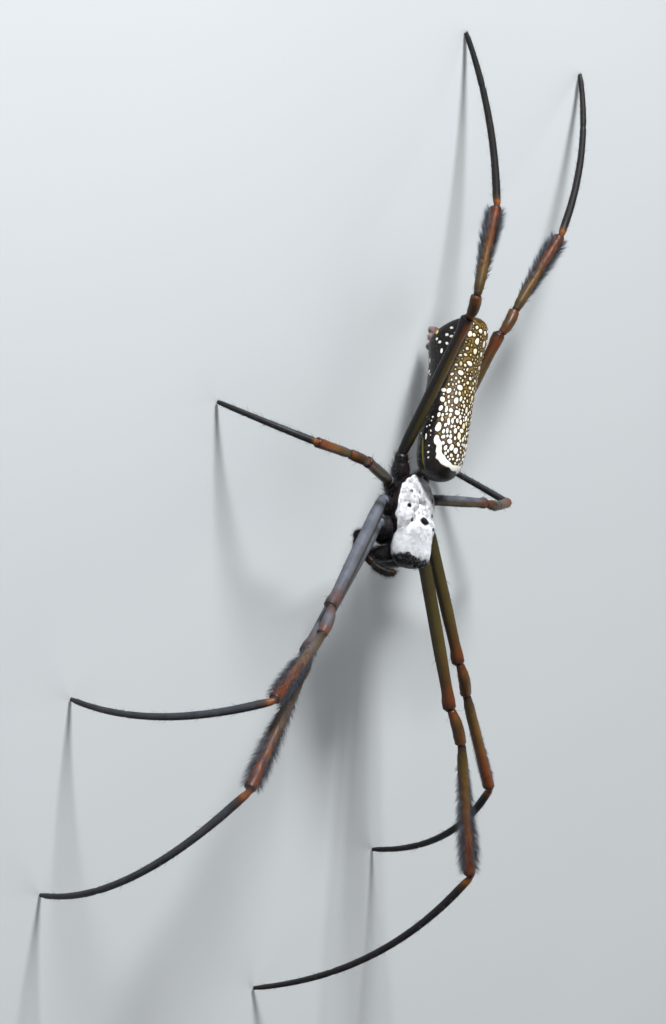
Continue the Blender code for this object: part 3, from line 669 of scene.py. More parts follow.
def lie_flat(normals, wish, lift, spread, draw):
    """Hair directions: the wish, spread at random, made square to the normal and lifted off the skin."""
    wish = wish + draw.normal(scale=spread, size=wish.shape)
    flat = unit(wish - np.einsum("ij,ij->i", wish, normals)[:, None] * normals)
    return unit(flat + normals * np.asarray(lift)[..., None])


def lying_hairs(rings, density, count, wish, lifts, spread, lengths, sink, draw):
    """Hairs along one wished way, or along the skin: roots, normals, ways, lengths, UVs and faces."""
    roots, normals, way, uv, row, column = scatter(rings, density, count, draw)
    wish = way if wish is None else wish + np.zeros((count, 3))
    ways = lie_flat(normals, wish, draw.uniform(*lifts, count), spread, draw)
    return roots - normals * sink, normals, ways, draw.uniform(*lengths, count), uv, (row, column)


FELT_HAIRS, HEAD_BRISTLES = 18000, 260
draw = np.random.default_rng(11)
face_felt = of_faces(felt_cover(shield_x, shield_y, shield_up, 1.9))
forward = way_in(body_place, 0.0, -1.0, 0.0)
middle = body_place(0.0, 0.3, 1.5)
for part in (1, 2):
    roots, normals, _, uv, row, column = scatter(carapace_grid, face_felt**2, FELT_HAIRS, draw)
    inward = unit((middle - roots) * (1.0, 0.6, 0.3))
    swirl = ripples(*roots.T, 20 + part, 12, 4.0)[:, None] * np.array([0.5, 0.2, 0.0])
    wish = inward * 0.7 + forward * 0.8 + swirl
    ways = lie_flat(normals, wish, draw.uniform(0.12, 0.5, FELT_HAIRS), 0.3, draw)
    shade = np.clip(face_felt[row, column] * 1.1 - draw.random(FELT_HAIRS) ** 3 * 0.5, 0.0, 1.0)
    length, width = draw.uniform(0.22, 0.5, FELT_HAIRS), draw.uniform(0.018, 0.032, FELT_HAIRS)
    make_hairs(f"felt_{part}", roots - normals * 0.02, ways, -normals * 0.2, length, width, uv, silver_hair,
               "silver_hair", shade, steps=1)

head_front = of_faces(bell(shield_y + 5.25, 0.4) * np.clip(shield_up + 0.3, 0.0, 1.0))
roots, normals, ways, length, uv, _ = lying_hairs(
    carapace_grid, head_front, HEAD_BRISTLES, forward, (0.6, 1.4), 0.25, (0.3, 0.75), 0.0, draw)
make_hairs("head_bristles", roots, ways, -normals * 0.25, length, 0.028, uv, dark_hair, "dark_cuticle",
           draw.random(HEAD_BRISTLES) * 0.25)
print("felt hairs:", 2 * FELT_HAIRS, "head bristles:", HEAD_BRISTLES)

# %% [markdown]
# ## Eyes
# Eight lenses sit on low dark rims: four in a square in the middle of the face, and two close pairs at
# its corners. Each is a polished ball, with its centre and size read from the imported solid.

# %% Eyes
lens_looks, tree, shader = new_material("eye_lens", Roughness=0.06, Coat_Weight=0.6, Coat_Roughness=0.04)
cloud = soft_step(tree, noise(tree, object_place(tree), 3000.0, Detail=2.0), 0.4, 0.6)
join(tree, blend_colours(tree, cloud, (0.004, 0.004, 0.006), (0.012, 0.014, 0.02)), shader.inputs["Base Color"])

EYES = [f"eye_{side}_{place}" for side in ("left", "right")
        for place in ("front_middle", "front_side", "rear_middle", "rear_side")]


def ball_rings(centre, radii, turned, rows=22, columns=32, start=0.06):
    """A ball's rings: centre plus a unit ball's points times three half sizes, turned by a matrix."""
    polar = np.linspace(start, math.pi - start, rows)[:, None]
    turn = np.linspace(0.0, math.tau, columns, endpoint=False)[None]
    ball = np.stack([np.sin(polar) * np.cos(turn), np.sin(polar) * np.sin(turn),
                     np.cos(polar) + 0.0 * turn], -1)
    return ball * np.asarray(radii) @ np.asarray(turned).T + centre


def middle_of(node):
    """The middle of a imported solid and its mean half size, in the spider's millimetres."""
    low, high = (np.array(corner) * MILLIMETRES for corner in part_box(node))
    return (low + high) / 2.0 + BOX_MIDDLE, float((high - low).mean()) / 2.0


head_core = body_place(0.0, -3.3, 0.4)
rims = []
for node in EYES:
    centre, radius = middle_of(node)
    outward = unit(centre - head_core)
    helper = unit(np.cross(outward, [0.0, 0.0, 1.0]))
    basis = np.stack([helper, np.cross(outward, helper), outward], -1)
    lens = ball_rings(centre, (radius, radius, radius * 0.97), basis)
    make_skin(node + "_lens", lens, lens_looks, "eye_lens", (node,))
    rim_size = (radius * 1.2, radius * 1.2, radius * 0.75)
    rims.append(ball_rings(centre - outward * radius * 0.6, rim_size, basis))
make_group("eye_rims", rims, black_cuticle, ())
print("eyes:", len(EYES))

# %% [markdown]
# ## The abdomen's pattern
# The back is golden brown with cream spots in dark rings: a middle row of large ones, a row of long
# ones along each side that run together into a white band round the front, and a crowd of small ones
# between, thrown at random but never touching. The flanks are black with a few white dots. A pattern
# like this could be painted in a picture; here each grid point stores its distance to the nearest
# spot, and the material turns that one number into cream, dark ring and golden net.

# %% Spots and band, on the unrolled skin
LENGTHS, HALF_WIDTH, HALF_HEIGHT, BELLY = (9.65, 9.1), 2.8, 2.75, 0.3
SWELL, BLUNTNESS, TAIL_SLANT = (0.02, 0.48), (7.0, 9.0), 0.5
ACROSS = math.radians(2.85)
BACK_SPOTS = (
    (21, 4.04, 0.34, 0.27), (40, 2.63, 0.36, 0.27), (34, 0.95, 0.4, 0.33), (39, -0.64, 0.27, 0.42),
    (33, -2.05, 0.38, 0.3), (40, -5.41, 0.33, 0.26), (19, -6.24, 0.28, 0.34), (74, 0.41, 0.3, 0.26),
    (72, -0.71, 0.3, 0.3), (74, -1.75, 0.24, 0.34), (75, -2.5, 0.26, 0.3), (72, -3.97, 0.36, 0.52),
    (71, -5.45, 0.38, 0.6), (62, 0.41, 0.25, 0.33), (60, -1.83, 0.18, 0.42), (50, -3.27, 0.18, 0.42),
    (51, -4.31, 0.17, 0.33), (12, 5.55, 0.28, 0.32), (11, 2.3, 0.24, 0.2), (10, -3.9, 0.26, 0.24),
    (58, 2.3, 0.2, 0.17), (53, 3.4, 0.22, 0.17), (47, 4.6, 0.2, 0.16), (34, 5.55, 0.2, 0.16),
    (36, 4.86, 0.22, 0.16), (13, 6.72, 0.26, 0.42), (9, 7.95, 0.26, 0.26), (36, 7.22, 0.24, 0.36),
    (26, 7.3, 0.23, 0.22), (20, 8.3, 0.2, 0.22))
FLANK_SPOTS = (
    (102, -1.53, 0.15, 0.14), (111, -2.7, 0.13, 0.16), (92, -2.77, 0.15, 0.12), (94, -3.2, 0.11, 0.11),
    (103, -3.97, 0.14, 0.13), (95, -3.8, 0.13, 0.12), (89, -4.44, 0.13, 0.13), (102, -5.09, 0.13, 0.36),
    (90, -4.95, 0.1, 0.09), (91, -6.13, 0.12, 0.1), (91, -6.95, 0.16, 0.14), (89, -7.59, 0.14, 0.11),
    (74, 7.65, 0.22, 0.15), (83, 6.83, 0.2, 0.18), (73, 6.66, 0.2, 0.16), (65, 7.1, 0.15, 0.12),
    (107, 6.35, 0.19, 0.19), (99, 5.91, 0.18, 0.18), (80, 5.74, 0.19, 0.18), (92, 4.95, 0.16, 0.3),
    (145, 1.78, 0.2, 0.17), (133, 2.69, 0.22, 0.28), (124, 2.3, 0.14, 0.13), (133, 4.09, 0.18, 0.3),
    (146, 0.26, 0.24, 0.16), (100, 1.2, 0.15, 0.14), (112, 0.0, 0.13, 0.13), (97, 2.9, 0.16, 0.15),
    (118, -0.9, 0.12, 0.14), (122, -4.6, 0.12, 0.13))
BAND = np.array([
    (66, -5.5), (62.5, -6.1), (60.5, -6.7), (56, -7.25), (47, -7.65), (33, -7.95), (15, -8.2), (0, -8.27)])
BAND_HALF = 0.34
FIELD_EDGE = np.array([
    (-8.4, 40.0), (-7.9, 54.0), (-7.2, 61.0), (-6.3, 65.0), (-5.0, 71.0), (-3.5, 75.0), (0.4, 78.0),
    (2.0, 66.0), (3.5, 56.0), (5.5, 48.0), (7.0, 40.0), (9.7, 30.0)]).T

# %% Spots thrown between, and the depth inside them
def throw_spots(draw, tries=14000):
    """Small spots at random places of the back, each kept only where it clears all that are there."""
    kept = [(side * angle * ACROSS, *rest) for angle, *rest in BACK_SPOTS for side in (-1, 1)]
    kept += [(side * angle * ACROSS, y, BAND_HALF, BAND_HALF) for angle, y in BAND for side in (-1, 1)]
    kept, placed = np.array(kept), len(kept)
    for place in draw.random((tries, 4)):
        y = -8.3 + 17.0 * place[0]
        limit = np.interp(y, *FIELD_EDGE) * ACROSS - 0.25
        x = limit * (2.0 * place[1] - 1.0)
        big = (0.12 + 0.13 * place[2] ** 1.5) * np.interp(y, [-8.0, -1.0, 5.0], [1.3, 1.0, 0.62])
        room = big + np.interp(y, [-8.0, -1.0, 5.0], [0.045, 0.1, 0.23])
        away = np.hypot((kept[:, 0] - x) / (kept[:, 2] + room), (kept[:, 1] - y) / (kept[:, 3] + room))
        if away.min() > 1.0:
            long = 1.0 + 0.8 * place[3] ** 2
            kept = np.concatenate([kept, [(x, y, big, big * (long if y > -7.0 else 1.0))]])
    return kept[placed:]


def nearest_spot(across, y, spots, out, tone, tones):
    """Depth inside the nearest ellipse in mm, kept where it is deeper than before, with that spot's tone."""
    for (x, along, wide, long), colour in zip(spots, tones):
        near = (np.abs(across - x) < wide + 0.8) & (np.abs(y - along) < long + 0.8)
        dx, dy = (across[near] - x) / wide, (y[near] - along) / long
        away = np.hypot(dx, dy) + 1e-6
        depth = (1.0 - away) * np.hypot(dx * wide, dy * long) / away
        deeper = depth > out[near]
        inside = np.flatnonzero(near.ravel())[deeper]
        out.ravel()[inside] = depth[deeper]
        tone.ravel()[inside] = colour
    return out, tone


def band_depth(across, y):
    """Depth inside the white band: its half width, less the distance to its row of points."""
    points = np.concatenate([BAND * (ACROSS, 1.0), (BAND * (-ACROSS, 1.0))[-2::-1]])
    best = np.full(across.shape, 9.0)
    for (x0, y0), (x1, y1) in zip(points[:-1], points[1:]):
        length = (x1 - x0) ** 2 + (y1 - y0) ** 2
        share = np.clip(((across - x0) * (x1 - x0) + (y - y0) * (y1 - y0)) / length, 0.0, 1.0)
        best = np.minimum(best, np.hypot(across - x0 - share * (x1 - x0), y - y0 - share * (y1 - y0)))
    wide = BAND_HALF * np.interp(y, [-7.4, -5.9], [1.0, 0.55])
    wide = wide + 0.1 * bell(np.abs(across) - 3.1, 0.8) + 0.1 * bell(y + 7.1, 0.7)
    return wide + 0.09 * ripples(across, y, 0.0 * y, 41, 16, 9.0) - best

# %% The abdomen's rings
def abdomen_rings(rows=316, columns=280, inset=0.05):
    """Places on the abdomen, and the angle of each from the middle of the back, in degrees.

    The radius at a place along is root(1 - |along|^power) * (1 + swell * |along|^3), with a power and a
    swell of its own for each end.
    """
    along = -np.cos(np.linspace(0.02, math.pi - 0.02, rows))[:, None]
    angle = math.pi / 2 + np.linspace(-math.pi, math.pi, columns, endpoint=False)[None]
    power, swell, reach = (np.where(along < 0, *ends) for ends in (BLUNTNESS, SWELL, LENGTHS))
    size = np.sqrt(1.0 - np.abs(along) ** power) * (1.0 + swell * np.abs(along) ** 3)
    down = np.where(np.sin(angle) < 0, HALF_HEIGHT + BELLY, HALF_HEIGHT)
    x = (HALF_WIDTH - inset) * size * np.cos(angle)
    z = (down - inset) * size * np.sin(angle)
    y = (reach - inset) * along + TAIL_SLANT * np.maximum(along, 0.0) ** 2 * z
    return x, y, z, np.degrees(angle - math.pi / 2) + 0.0 * along


print("placed spots on each side:", len(BACK_SPOTS), "on the back and", len(FLANK_SPOTS), "on the flank")

# %% The abdomen's skin
draw = np.random.default_rng(7)
small = throw_spots(draw)
skin_x, skin_y, skin_z, skin_angle = abdomen_rings()
warp_across = 0.05 * ripples(skin_x, skin_y, skin_z, 31, 20, 7.0)
warp_along = 0.05 * ripples(skin_x, skin_y, skin_z, 32, 20, 7.0)
across, lengthwise = skin_angle * ACROSS + warp_across, skin_y + warp_along
# The far side's copy of each placed spot is a little stretched and shifted.
COPIES = ((-1.04, 0.03), (1.0, 0.0))
TAIL_DOTS = [(side * 110 * ACROSS, 7.2, 0.28, 0.26) for side in (1, -1)]
spots = np.array([(side * angle * ACROSS + shift, y + 2.0 * shift, wide, long)
                  for angle, y, wide, long in BACK_SPOTS + FLANK_SPOTS for side, shift in COPIES])
yellow = np.interp(spots[:, 1], [-4.0, 5.0], [0.05, 0.4]) * (np.abs(spots[:, 0]) < 60 * ACROSS)
small_yellow = np.interp(small[:, 1], [-5.0, 6.0], [0.1, 0.85]) + draw.normal(0.0, 0.15, len(small))
depth, tone = np.full(skin_x.shape, -0.8), np.zeros(skin_x.shape)
for some, tones in ((small, np.clip(small_yellow, 0.0, 1.0)), (spots, yellow), (TAIL_DOTS, (1.0, 1.0))):
    depth, tone = nearest_spot(across, lengthwise, some, depth, tone, tones)
band = band_depth(across, lengthwise)
depth, tone = np.where(band > depth, band, depth), np.where(band > depth, 0.12, tone)
edge = np.interp(skin_y, *FIELD_EDGE) + 4.0 * ripples(skin_x, skin_y, skin_z, 33, 16, 3.0)
field = np.clip((edge - np.abs(skin_angle)) / 9.0 + 0.5, 0.0, 1.0) * np.clip((skin_y + 8.42) / 0.3, 0.0, 1.0)
line_angle = np.interp(skin_y, [-8.6, -8.15, -6.8, -5.3], [104.0, 105.0, 107.0, 111.5])
line = bell(np.abs(skin_angle) - line_angle, 2.2) * np.clip((skin_y + 8.9) / 0.6, 0.0, 1.0)
line = line * np.clip((-5.0 - skin_y) / 0.6, 0.0, 1.0)
outward = pitched(skin_x, 0.0 * skin_x, skin_z, ABDOMEN_PITCH) / np.hypot(skin_x, skin_z)[..., None]
raised = 0.035 * np.clip(depth / 0.14 + 0.3, 0.0, 1.0) - 0.02 * bell(depth + 0.06, 0.05)
beside_middle = bell(np.abs(skin_x) - 0.85, 0.16)
dimples = sum(beside_middle * bell(skin_y - y, 0.22) * (skin_z > 0) for y in (-4.6, -1.2, 2.2))
raised = raised - 0.09 * dimples
abdomen_grid = abdomen_place(skin_x, skin_y, skin_z) + outward * raised[..., None]
print("abdomen:", len(small), "small spots and", len(spots), "placed ones on", skin_x.size, "points")

# %% [markdown]
# ## The abdomen's finish
# The cream of a spot is a deposit under a clear skin, so it is smooth and bright with a soft edge. Round
# it comes a dark ring, then the golden net, which fades to black on the flanks and the front. The skin
# itself is satin and finely wrinkled, and it has scattered short hairs.

# %% Abdomen material and piece
def ramp(tree, value, stops):
    """A Color Ramp from (place, colour) stops."""
    made = add_node(tree, "ShaderNodeValToRGB")
    band = made.color_ramp
    for index, (place, colour) in enumerate(stops):
        stop = band.elements[index] if index < 2 else band.elements.new(place)
        stop.position = place
        stop.color = (*colour, 1.0)
    join(tree, value, made.inputs[0])
    return made.outputs["Color"]


abdomen_looks, tree, shader = new_material("spotted_skin", Coat_Weight=0.1, Coat_Roughness=0.22,
                                           Specular_IOR_Level=0.25)
grain = add_node(tree, "ShaderNodeGroup", node_tree=cuticle_group)
grain.inputs["Scale"].default_value = 0.7
mottle = noise(tree, object_place(tree), 2600.0, Detail=4.0, Roughness=0.65)
from_middle = maths(tree, "SUBTRACT", mottle, 0.5)
rough_edge = maths(tree, "MULTIPLY_ADD", from_middle, 0.09, read_number(tree, "spot"))
inside = soft_step(tree, rough_edge, -0.015, 0.035)
gold = ramp(tree, maths(tree, "ADD", rough_edge, 0.5),
            ((0.0, (0.03, 0.017, 0.004)), (0.15, (0.07, 0.038, 0.007)), (0.27, (0.22, 0.135, 0.02)),
             (0.35, (0.05, 0.03, 0.006)), (0.42, (0.008, 0.005, 0.002))))
gold = blend_colours(tree, maths(tree, "MULTIPLY", mottle, 0.5), gold, (0.07, 0.035, 0.01))
uneven = soft_step(tree, grain.outputs["Tone"], 0.35, 0.7)
flank = blend_colours(tree, uneven, (0.003, 0.002, 0.002), (0.008, 0.005, 0.004))
ground = blend_colours(tree, read_number(tree, "field"), flank, gold)
ground = blend_colours(tree, read_number(tree, "line"), ground, (0.15, 0.15, 0.02))
cream = blend_colours(tree, read_number(tree, "tone"), (0.76, 0.75, 0.7), (0.6, 0.42, 0.1))
fringe = maths(tree, "MULTIPLY", soft_step(tree, rough_edge, 0.16, 0.0), 0.35)
cream = blend_colours(tree, fringe, cream, (0.4, 0.33, 0.2))
join(tree, blend_colours(tree, inside, ground, cream), shader.inputs["Base Color"])
join(tree, maths(tree, "MULTIPLY_ADD", grain.outputs["Tone"], 0.25, 0.33), shader.inputs["Roughness"])
bump = add_node(tree, "ShaderNodeBump", {"Strength": 0.35, "Distance": 0.00004})
join(tree, maths(tree, "MULTIPLY_ADD", inside, 0.6, grain.outputs["Height"]), bump.inputs["Height"])
join(tree, bump.outputs["Normal"], shader.inputs["Normal"])

make_skin("abdomen_skin", abdomen_grid, abdomen_looks, "abdomen_skin", ("abdomen",),
          spot=depth, tone=tone, field=field, line=line)

BACK_HAIRS = 3600
draw = np.random.default_rng(12)
crowding = 0.5 + 1.2 * np.clip(-skin_y / 9.0, 0.0, 1.0) + 0.8 * (np.abs(skin_angle) > 60)
rearward = way_in(abdomen_place, 0.0, 1.0, 0.0)
roots, normals, ways, length, uv, at = lying_hairs(
    abdomen_grid, of_faces(crowding), BACK_HAIRS, rearward, (0.5, 1.3), 0.25, (0.18, 0.42), 0.02, draw)
width = draw.uniform(0.01, 0.016, BACK_HAIRS)
# Flank hairs get the full range of the pale colour and back hairs a quarter of it: pale hairs, painted lighter
# on the flanks as a painted highlight of the light from behind.
shade = draw.random(BACK_HAIRS) * np.where(np.abs(skin_angle[at]) > 95, 1.0, 0.25)
make_hairs("abdomen_hairs", roots, ways, rearward * 0.25 - normals * 0.15, length, width, uv, pale_hair,
           "abdomen_skin", shade, steps=1)
print("abdomen hairs:", BACK_HAIRS)

# %% [markdown]
# ## Legs
# A leg has a coxa, a femur, a short bulging patella, a tibia, and a long thin foot that arches down to
# its tip. The directions and lengths are those of the solids. One skin covers the whole leg, so no seam
# shows: its radius dips at each joint and swells at the knee. Every ring stores where it is, as a
# number that goes up by one at each joint, and the material turns that into the change from olive femur
# to rusty tibia to dark grey foot.

# %% Leg numbers and path
PAIRS = {
    1: {"hip": (4.4, -1.75, -1.5), "root": (1.5, -1.7, -1.35), "lengths": (19.8, 4.4, 15.8), "thickness": 0.76},
    2: {"hip": (4.6, 0.8, -1.1), "root": (1.5, 0.35, -1.4), "lengths": (17.2, 4.2, 12.5), "thickness": 0.74},
    3: {"hip": (4.2, 3.3, -0.9), "root": (1.5, 2.2, -1.4), "lengths": (9.0, 2.8, 5.8), "thickness": 0.64},
    4: {"hip": (2.85, 6.8, -0.3), "root": (1.3, 3.6, -1.3), "lengths": (17.4, 3.3, 10.7), "thickness": 0.72},
}
# Each leg: its side, its pair, the turn and rise of femur, patella and tibia in degrees, the foot's
# place, the bow of its arch, and how full a brush it carries.
LEGS = {
    "leg_left_1": (1, 1, ((30.5, 20.0), (38.5, 22.0), (26.5, 15.0)), (23.5, -58.7), 0.09, 1.0),
    "leg_left_2": (1, 2, ((34.5, 20.0), (43.5, 10.0), (43.0, 12.5)), (33.9, -38.2), 0.1, 0.35),
    "leg_left_3": (1, 3, ((106.5, 8.5), (96.0, -8.5), (102.0, -25.5)), (11.0, 7.4), 0.04, 0.0),
    "leg_left_4": (1, 4, ((175.5, 1.0), (163.0, -3.5), (165.0, -3.0)), (7.5, 55.5), 0.065, 0.9),
    "leg_right_1": (-1, 1, ((29.5, 16.5), (44.5, 37.0), (28.5, 20.5)), (-19.7, -55.4), 0.15, 1.0),
    "leg_right_2": (-1, 2, ((33.5, 22.0), (32.5, 28.5), (45.0, 20.0)), (-28.8, -33.8), 0.13, 0.9),
    "leg_right_3": (-1, 3, ((94.5, 19.5), (88.5, -15.0), (85.5, -2.5)), (-27.2, 2.4), 0.1, 0.0),
    "leg_right_4": (-1, 4, ((169.5, 10.0), (142.5, 22.0), (181.5, -16.0)), (-14.7, 52.0), 0.05, 0.9),
}
GIRTH = {
    0: ((0.0, 0.95), (0.1, 1.25), (0.45, 1.5), (0.68, 1.26), (0.74, 1.02), (0.82, 1.14), (0.94, 1.04),
        (1.0, 0.82)),
    1: ((0.0, 0.78), (0.03, 0.86), (0.12, 0.98), (0.6, 0.98), (0.86, 0.88), (0.94, 0.95), (0.985, 0.92),
        (1.0, 0.72)),
    2: ((0.0, 0.7), (0.08, 0.84), (0.32, 0.96), (0.72, 0.95), (0.93, 0.87), (1.0, 0.68)),
    3: ((0.0, 0.66), (0.03, 0.74), (0.12, 0.85), (0.5, 0.83), (0.85, 0.9), (0.97, 0.87), (1.0, 0.62)),
    4: ((0.0, 0.56), (0.02, 0.63), (0.08, 0.63), (0.3, 0.57), (0.66, 0.51), (0.675, 0.44), (0.69, 0.5),
        (0.95, 0.42), (1.0, 0.3)),
}
STEPS = {0: 34, 1: 90, 2: 44, 3: 76, 4: 170}
NOTCH = ((1.9, 0.0), (1.955, -0.22), (1.99, -0.26), (2.01, -0.05), (2.04, 0.46), (2.14, 0.4), (2.45, 0.1),
         (2.8, 0.0), (2.96, -0.06), (3.0, 0.2), (3.03, 0.26), (3.12, 0.1), (3.25, 0.0), (3.9, 0.0),
         (3.965, -0.16), (4.0, 0.25), (4.01, 0.3), (4.05, 0.1), (4.1, 0.0))
PATH_SOFTNESS, KNEE_RISE, RING_CROWDING, FOOT_LIFT = 0.22, 0.22, 0.11, 0.12
# The shares of the foot before and after its last joint.
FOOT_PARTS = (0.68, 0.32)

# %% The leg's path and rings
def heading(side, turn, rise):
    """A direction: turned from straight ahead to the side, then raised, both in degrees."""
    turn, rise = math.radians(turn), math.radians(rise)
    return np.array([side * math.sin(turn) * math.cos(rise), -math.cos(turn) * math.cos(rise), math.sin(rise)])


def foot_arch(start, way, foot, bow, count=60):
    """The foot's arch: start + chord * t + rise * 4 t (1 - t) * bow * length, bent the tibia's way."""
    foot = np.array([*foot, FOOT_LIFT])
    chord = foot - start
    length = np.linalg.norm(chord)
    rise = unit(way - chord * (way @ chord) / length**2)
    share = np.linspace(0.0, 1.0, count)[:, None]
    return start + chord * share + rise * 4.0 * share * (1.0 - share) * bow * length


def leg_points(name):
    """The leg's path, and how far along it each segment starts."""
    side, pair, ways, foot, bow, _ = LEGS[name]
    size = PAIRS[pair]
    joints = [body_place(side * x, y, z) for x, y, z in (size["root"], size["hip"])]
    for (turn, rise), length in zip(ways, size["lengths"]):
        joints.append(joints[-1] + heading(side, turn, rise) * length)
    way = heading(side, *ways[2])
    points = np.concatenate([np.array(joints), foot_arch(joints[-1], way, foot, bow)[1:]])
    lengths = lengths_along(points)
    return points, np.concatenate([lengths[:5], lengths[-1:]])


def leg_rings(name, columns=24):
    """The leg's rings, each ring's segment number, and its direction across.

    A ring's radius is thickness times girth, and on the underside it is cut back by the notch, which
    leaves a cap under each knee and lets the next segment rise out of the upper half.
    """
    thickness = PAIRS[LEGS[name][1]]["thickness"]
    points, starts = leg_points(name)
    at, number, radius = [], [], []
    for part, steps in STEPS.items():
        t = np.linspace(0.0, 1.0, steps, endpoint=part == 4)
        t = t - RING_CROWDING * np.sin(math.tau * t)
        at.append(starts[part] + t * (starts[part + 1] - starts[part]))
        first, last = FOOT_PARTS
        number.append(part + t if part < 4 else np.where(t < first, 4.0 + t / first, 5.0 + (t - first) / last))
        radius.append(thickness * eased(GIRTH[part], t))
    at, number, radius = (np.concatenate(values) for values in (at, number, radius))
    places = along_path(points, at, PATH_SOFTNESS)
    horizontal = points[2] - points[1]
    sideways = unit(np.array([horizontal[1], -horizontal[0], 0.0]))
    _, across, up = frames_along(places, sideways)
    knee = np.sin(math.pi * np.clip(number - 2.0, 0.0, 1.0)) ** 1.5
    places = places + up * (KNEE_RISE * knee)[:, None]
    under = 0.5 - 0.5 * np.cos(np.linspace(0.0, math.tau, columns, endpoint=False))
    rings = tube(places, radius, sideways, columns)
    cut = 1.0 - eased(NOTCH, number)[:, None] * under**1.3
    rings = places[:, None] + (rings - places[:, None]) * cut[..., None]
    rings[..., 2] = np.maximum(rings[..., 2], 0.0)
    return rings, number, across


print("legs in mm:", [round(float(leg_points(name)[1][-1]), 1) for name in LEGS])

# %% [markdown]
# ## Leg colours
# Where the light grazes a femur, a pale blue-grey sheen is painted over the olive on its outer or lower
# side: a painted highlight and reflection of the sky. A painted number says where that is, and the ramp gives
# the rest.

# %% Leg material
LEG_STOPS = (
    (0.0, (0.004, 0.003, 0.003)), (0.5, (0.006, 0.003, 0.003)), (0.97, (0.006, 0.004, 0.004)),
    (1.04, (0.012, 0.01, 0.006)), (1.16, (0.04, 0.034, 0.009)), (1.62, (0.066, 0.048, 0.01)),
    (1.82, (0.072, 0.034, 0.008)), (1.94, (0.12, 0.03, 0.006)), (1.985, (0.05, 0.012, 0.004)),
    (2.0, (0.014, 0.005, 0.003)), (2.04, (0.08, 0.022, 0.005)), (2.2, (0.115, 0.042, 0.008)),
    (2.5, (0.07, 0.035, 0.009)), (2.82, (0.115, 0.04, 0.008)), (2.97, (0.12, 0.038, 0.007)),
    (3.0, (0.014, 0.006, 0.004)), (3.04, (0.05, 0.03, 0.008)), (3.16, (0.09, 0.055, 0.011)),
    (3.42, (0.15, 0.07, 0.011)), (3.72, (0.19, 0.05, 0.006)), (3.94, (0.17, 0.036, 0.005)),
    (3.985, (0.02, 0.01, 0.008)), (4.004, (0.16, 0.045, 0.01)), (4.03, (0.3, 0.1, 0.015)),
    (4.055, (0.08, 0.034, 0.01)), (4.1, (0.009, 0.009, 0.01)), (4.98, (0.009, 0.009, 0.01)),
    (5.01, (0.006, 0.006, 0.006)), (5.06, (0.009, 0.009, 0.01)), (6.0, (0.009, 0.008, 0.008)))
LEG_TINT = (0.84, 0.8, 0.75)
SEGMENTS = 6.0

leg_looks, tree, shader = new_material("leg_cuticle", Coat_Weight=0.05, Coat_Roughness=0.25,
                                       Specular_IOR_Level=0.22)
number = maths(tree, "MULTIPLY", read_number(tree, "segment"), 1.0 / SEGMENTS)
base = ramp(tree, number, [(place / SEGMENTS, tuple(part * share for part, share in zip(colour, LEG_TINT)))
                           for place, colour in LEG_STOPS])
tone = add_grain(tree, shader, 0.8, 0.22)
dull_patch = maths(tree, "MULTIPLY", soft_step(tree, tone, 0.4, 0.75), 0.35)
base = blend_colours(tree, dull_patch, base, (0.03, 0.015, 0.008))
# Painted shade darkens the sides away from the light, and a painted sheen, a reflection of the sky, lies over
# that.
base = blend_colours(tree, read_number(tree, "shaded"), base, (0.005, 0.004, 0.004))
bloom_colour = blend_colours(tree, soft_step(tree, tone, 0.3, 0.7), (0.066, 0.072, 0.092), (0.095, 0.103, 0.13))
uneven = maths(tree, "MULTIPLY_ADD", tone, 0.2, 0.85)
bloom = maths(tree, "MULTIPLY", read_number(tree, "bloom"), uneven, clamp=True)
join(tree, blend_colours(tree, bloom, base, bloom_colour), shader.inputs["Base Color"])
dull = maths(tree, "MULTIPLY_ADD", soft_step(tree, number, 4.04 / SEGMENTS, 4.2 / SEGMENTS), 0.2, 0.33)
dull = maths(tree, "MULTIPLY_ADD", tone, 0.18, dull)
join(tree, maths(tree, "MULTIPLY_ADD", bloom, 0.14, dull), shader.inputs["Roughness"])
print("leg colours:", len(LEG_STOPS), "stops over", int(SEGMENTS), "segments")

# %% Where the painted sheen and painted shade lie
# The angle round a leg is nothing on top and 90 degrees on its outer side. A leg's painted sheen, a
# reflection of the sky, is given by the angle of its middle and by half its width.
PAINTED_SHEEN_PLACE = {"leg_left_1": (180, 55), "leg_left_2": (180, 55), "leg_left_3": (275, 75),
               "leg_left_4": (150, 60), "leg_right_1": (110, 140), "leg_right_2": (112, 122),
               "leg_right_3": (265, 75), "leg_right_4": (166, 46)}
SHADE_SHARE = {"leg_left_1": 0.45, "leg_left_2": 0.45, "leg_left_3": 0.4, "leg_left_4": 0.95 * 0.4,
               "leg_right_1": 0.45, "leg_right_2": 0.45, "leg_right_3": 0.4, "leg_right_4": 0.95}
# Along a leg, the painted sheen is strongest on the femur, with a painted highlight on the ring at its root.
PAINTED_SHEEN_SHARE = ((0.0, 0.05), (0.92, 0.1), (0.98, 0.8), (1.03, 0.8), (1.06, 0.2), (1.12, 0.85), (1.8, 0.85),
               (1.93, 0.3), (2.0, 0.1), (2.5, 0.2), (3.0, 0.1), (3.2, 0.35), (3.6, 0.15), (3.95, 0.05),
               (4.05, 0.1), (4.15, 0.28), (5.0, 0.24), (6.0, 0.15))
JOINT_SHADES = ((1.99, 0.06), (3.0, 0.045), (4.0, 0.012))


def from_angle(turn, middle):
    """How far an angle is from another, from 0 to 180 degrees."""
    return np.abs((turn - middle + 180.0) % 360.0 - 180.0)


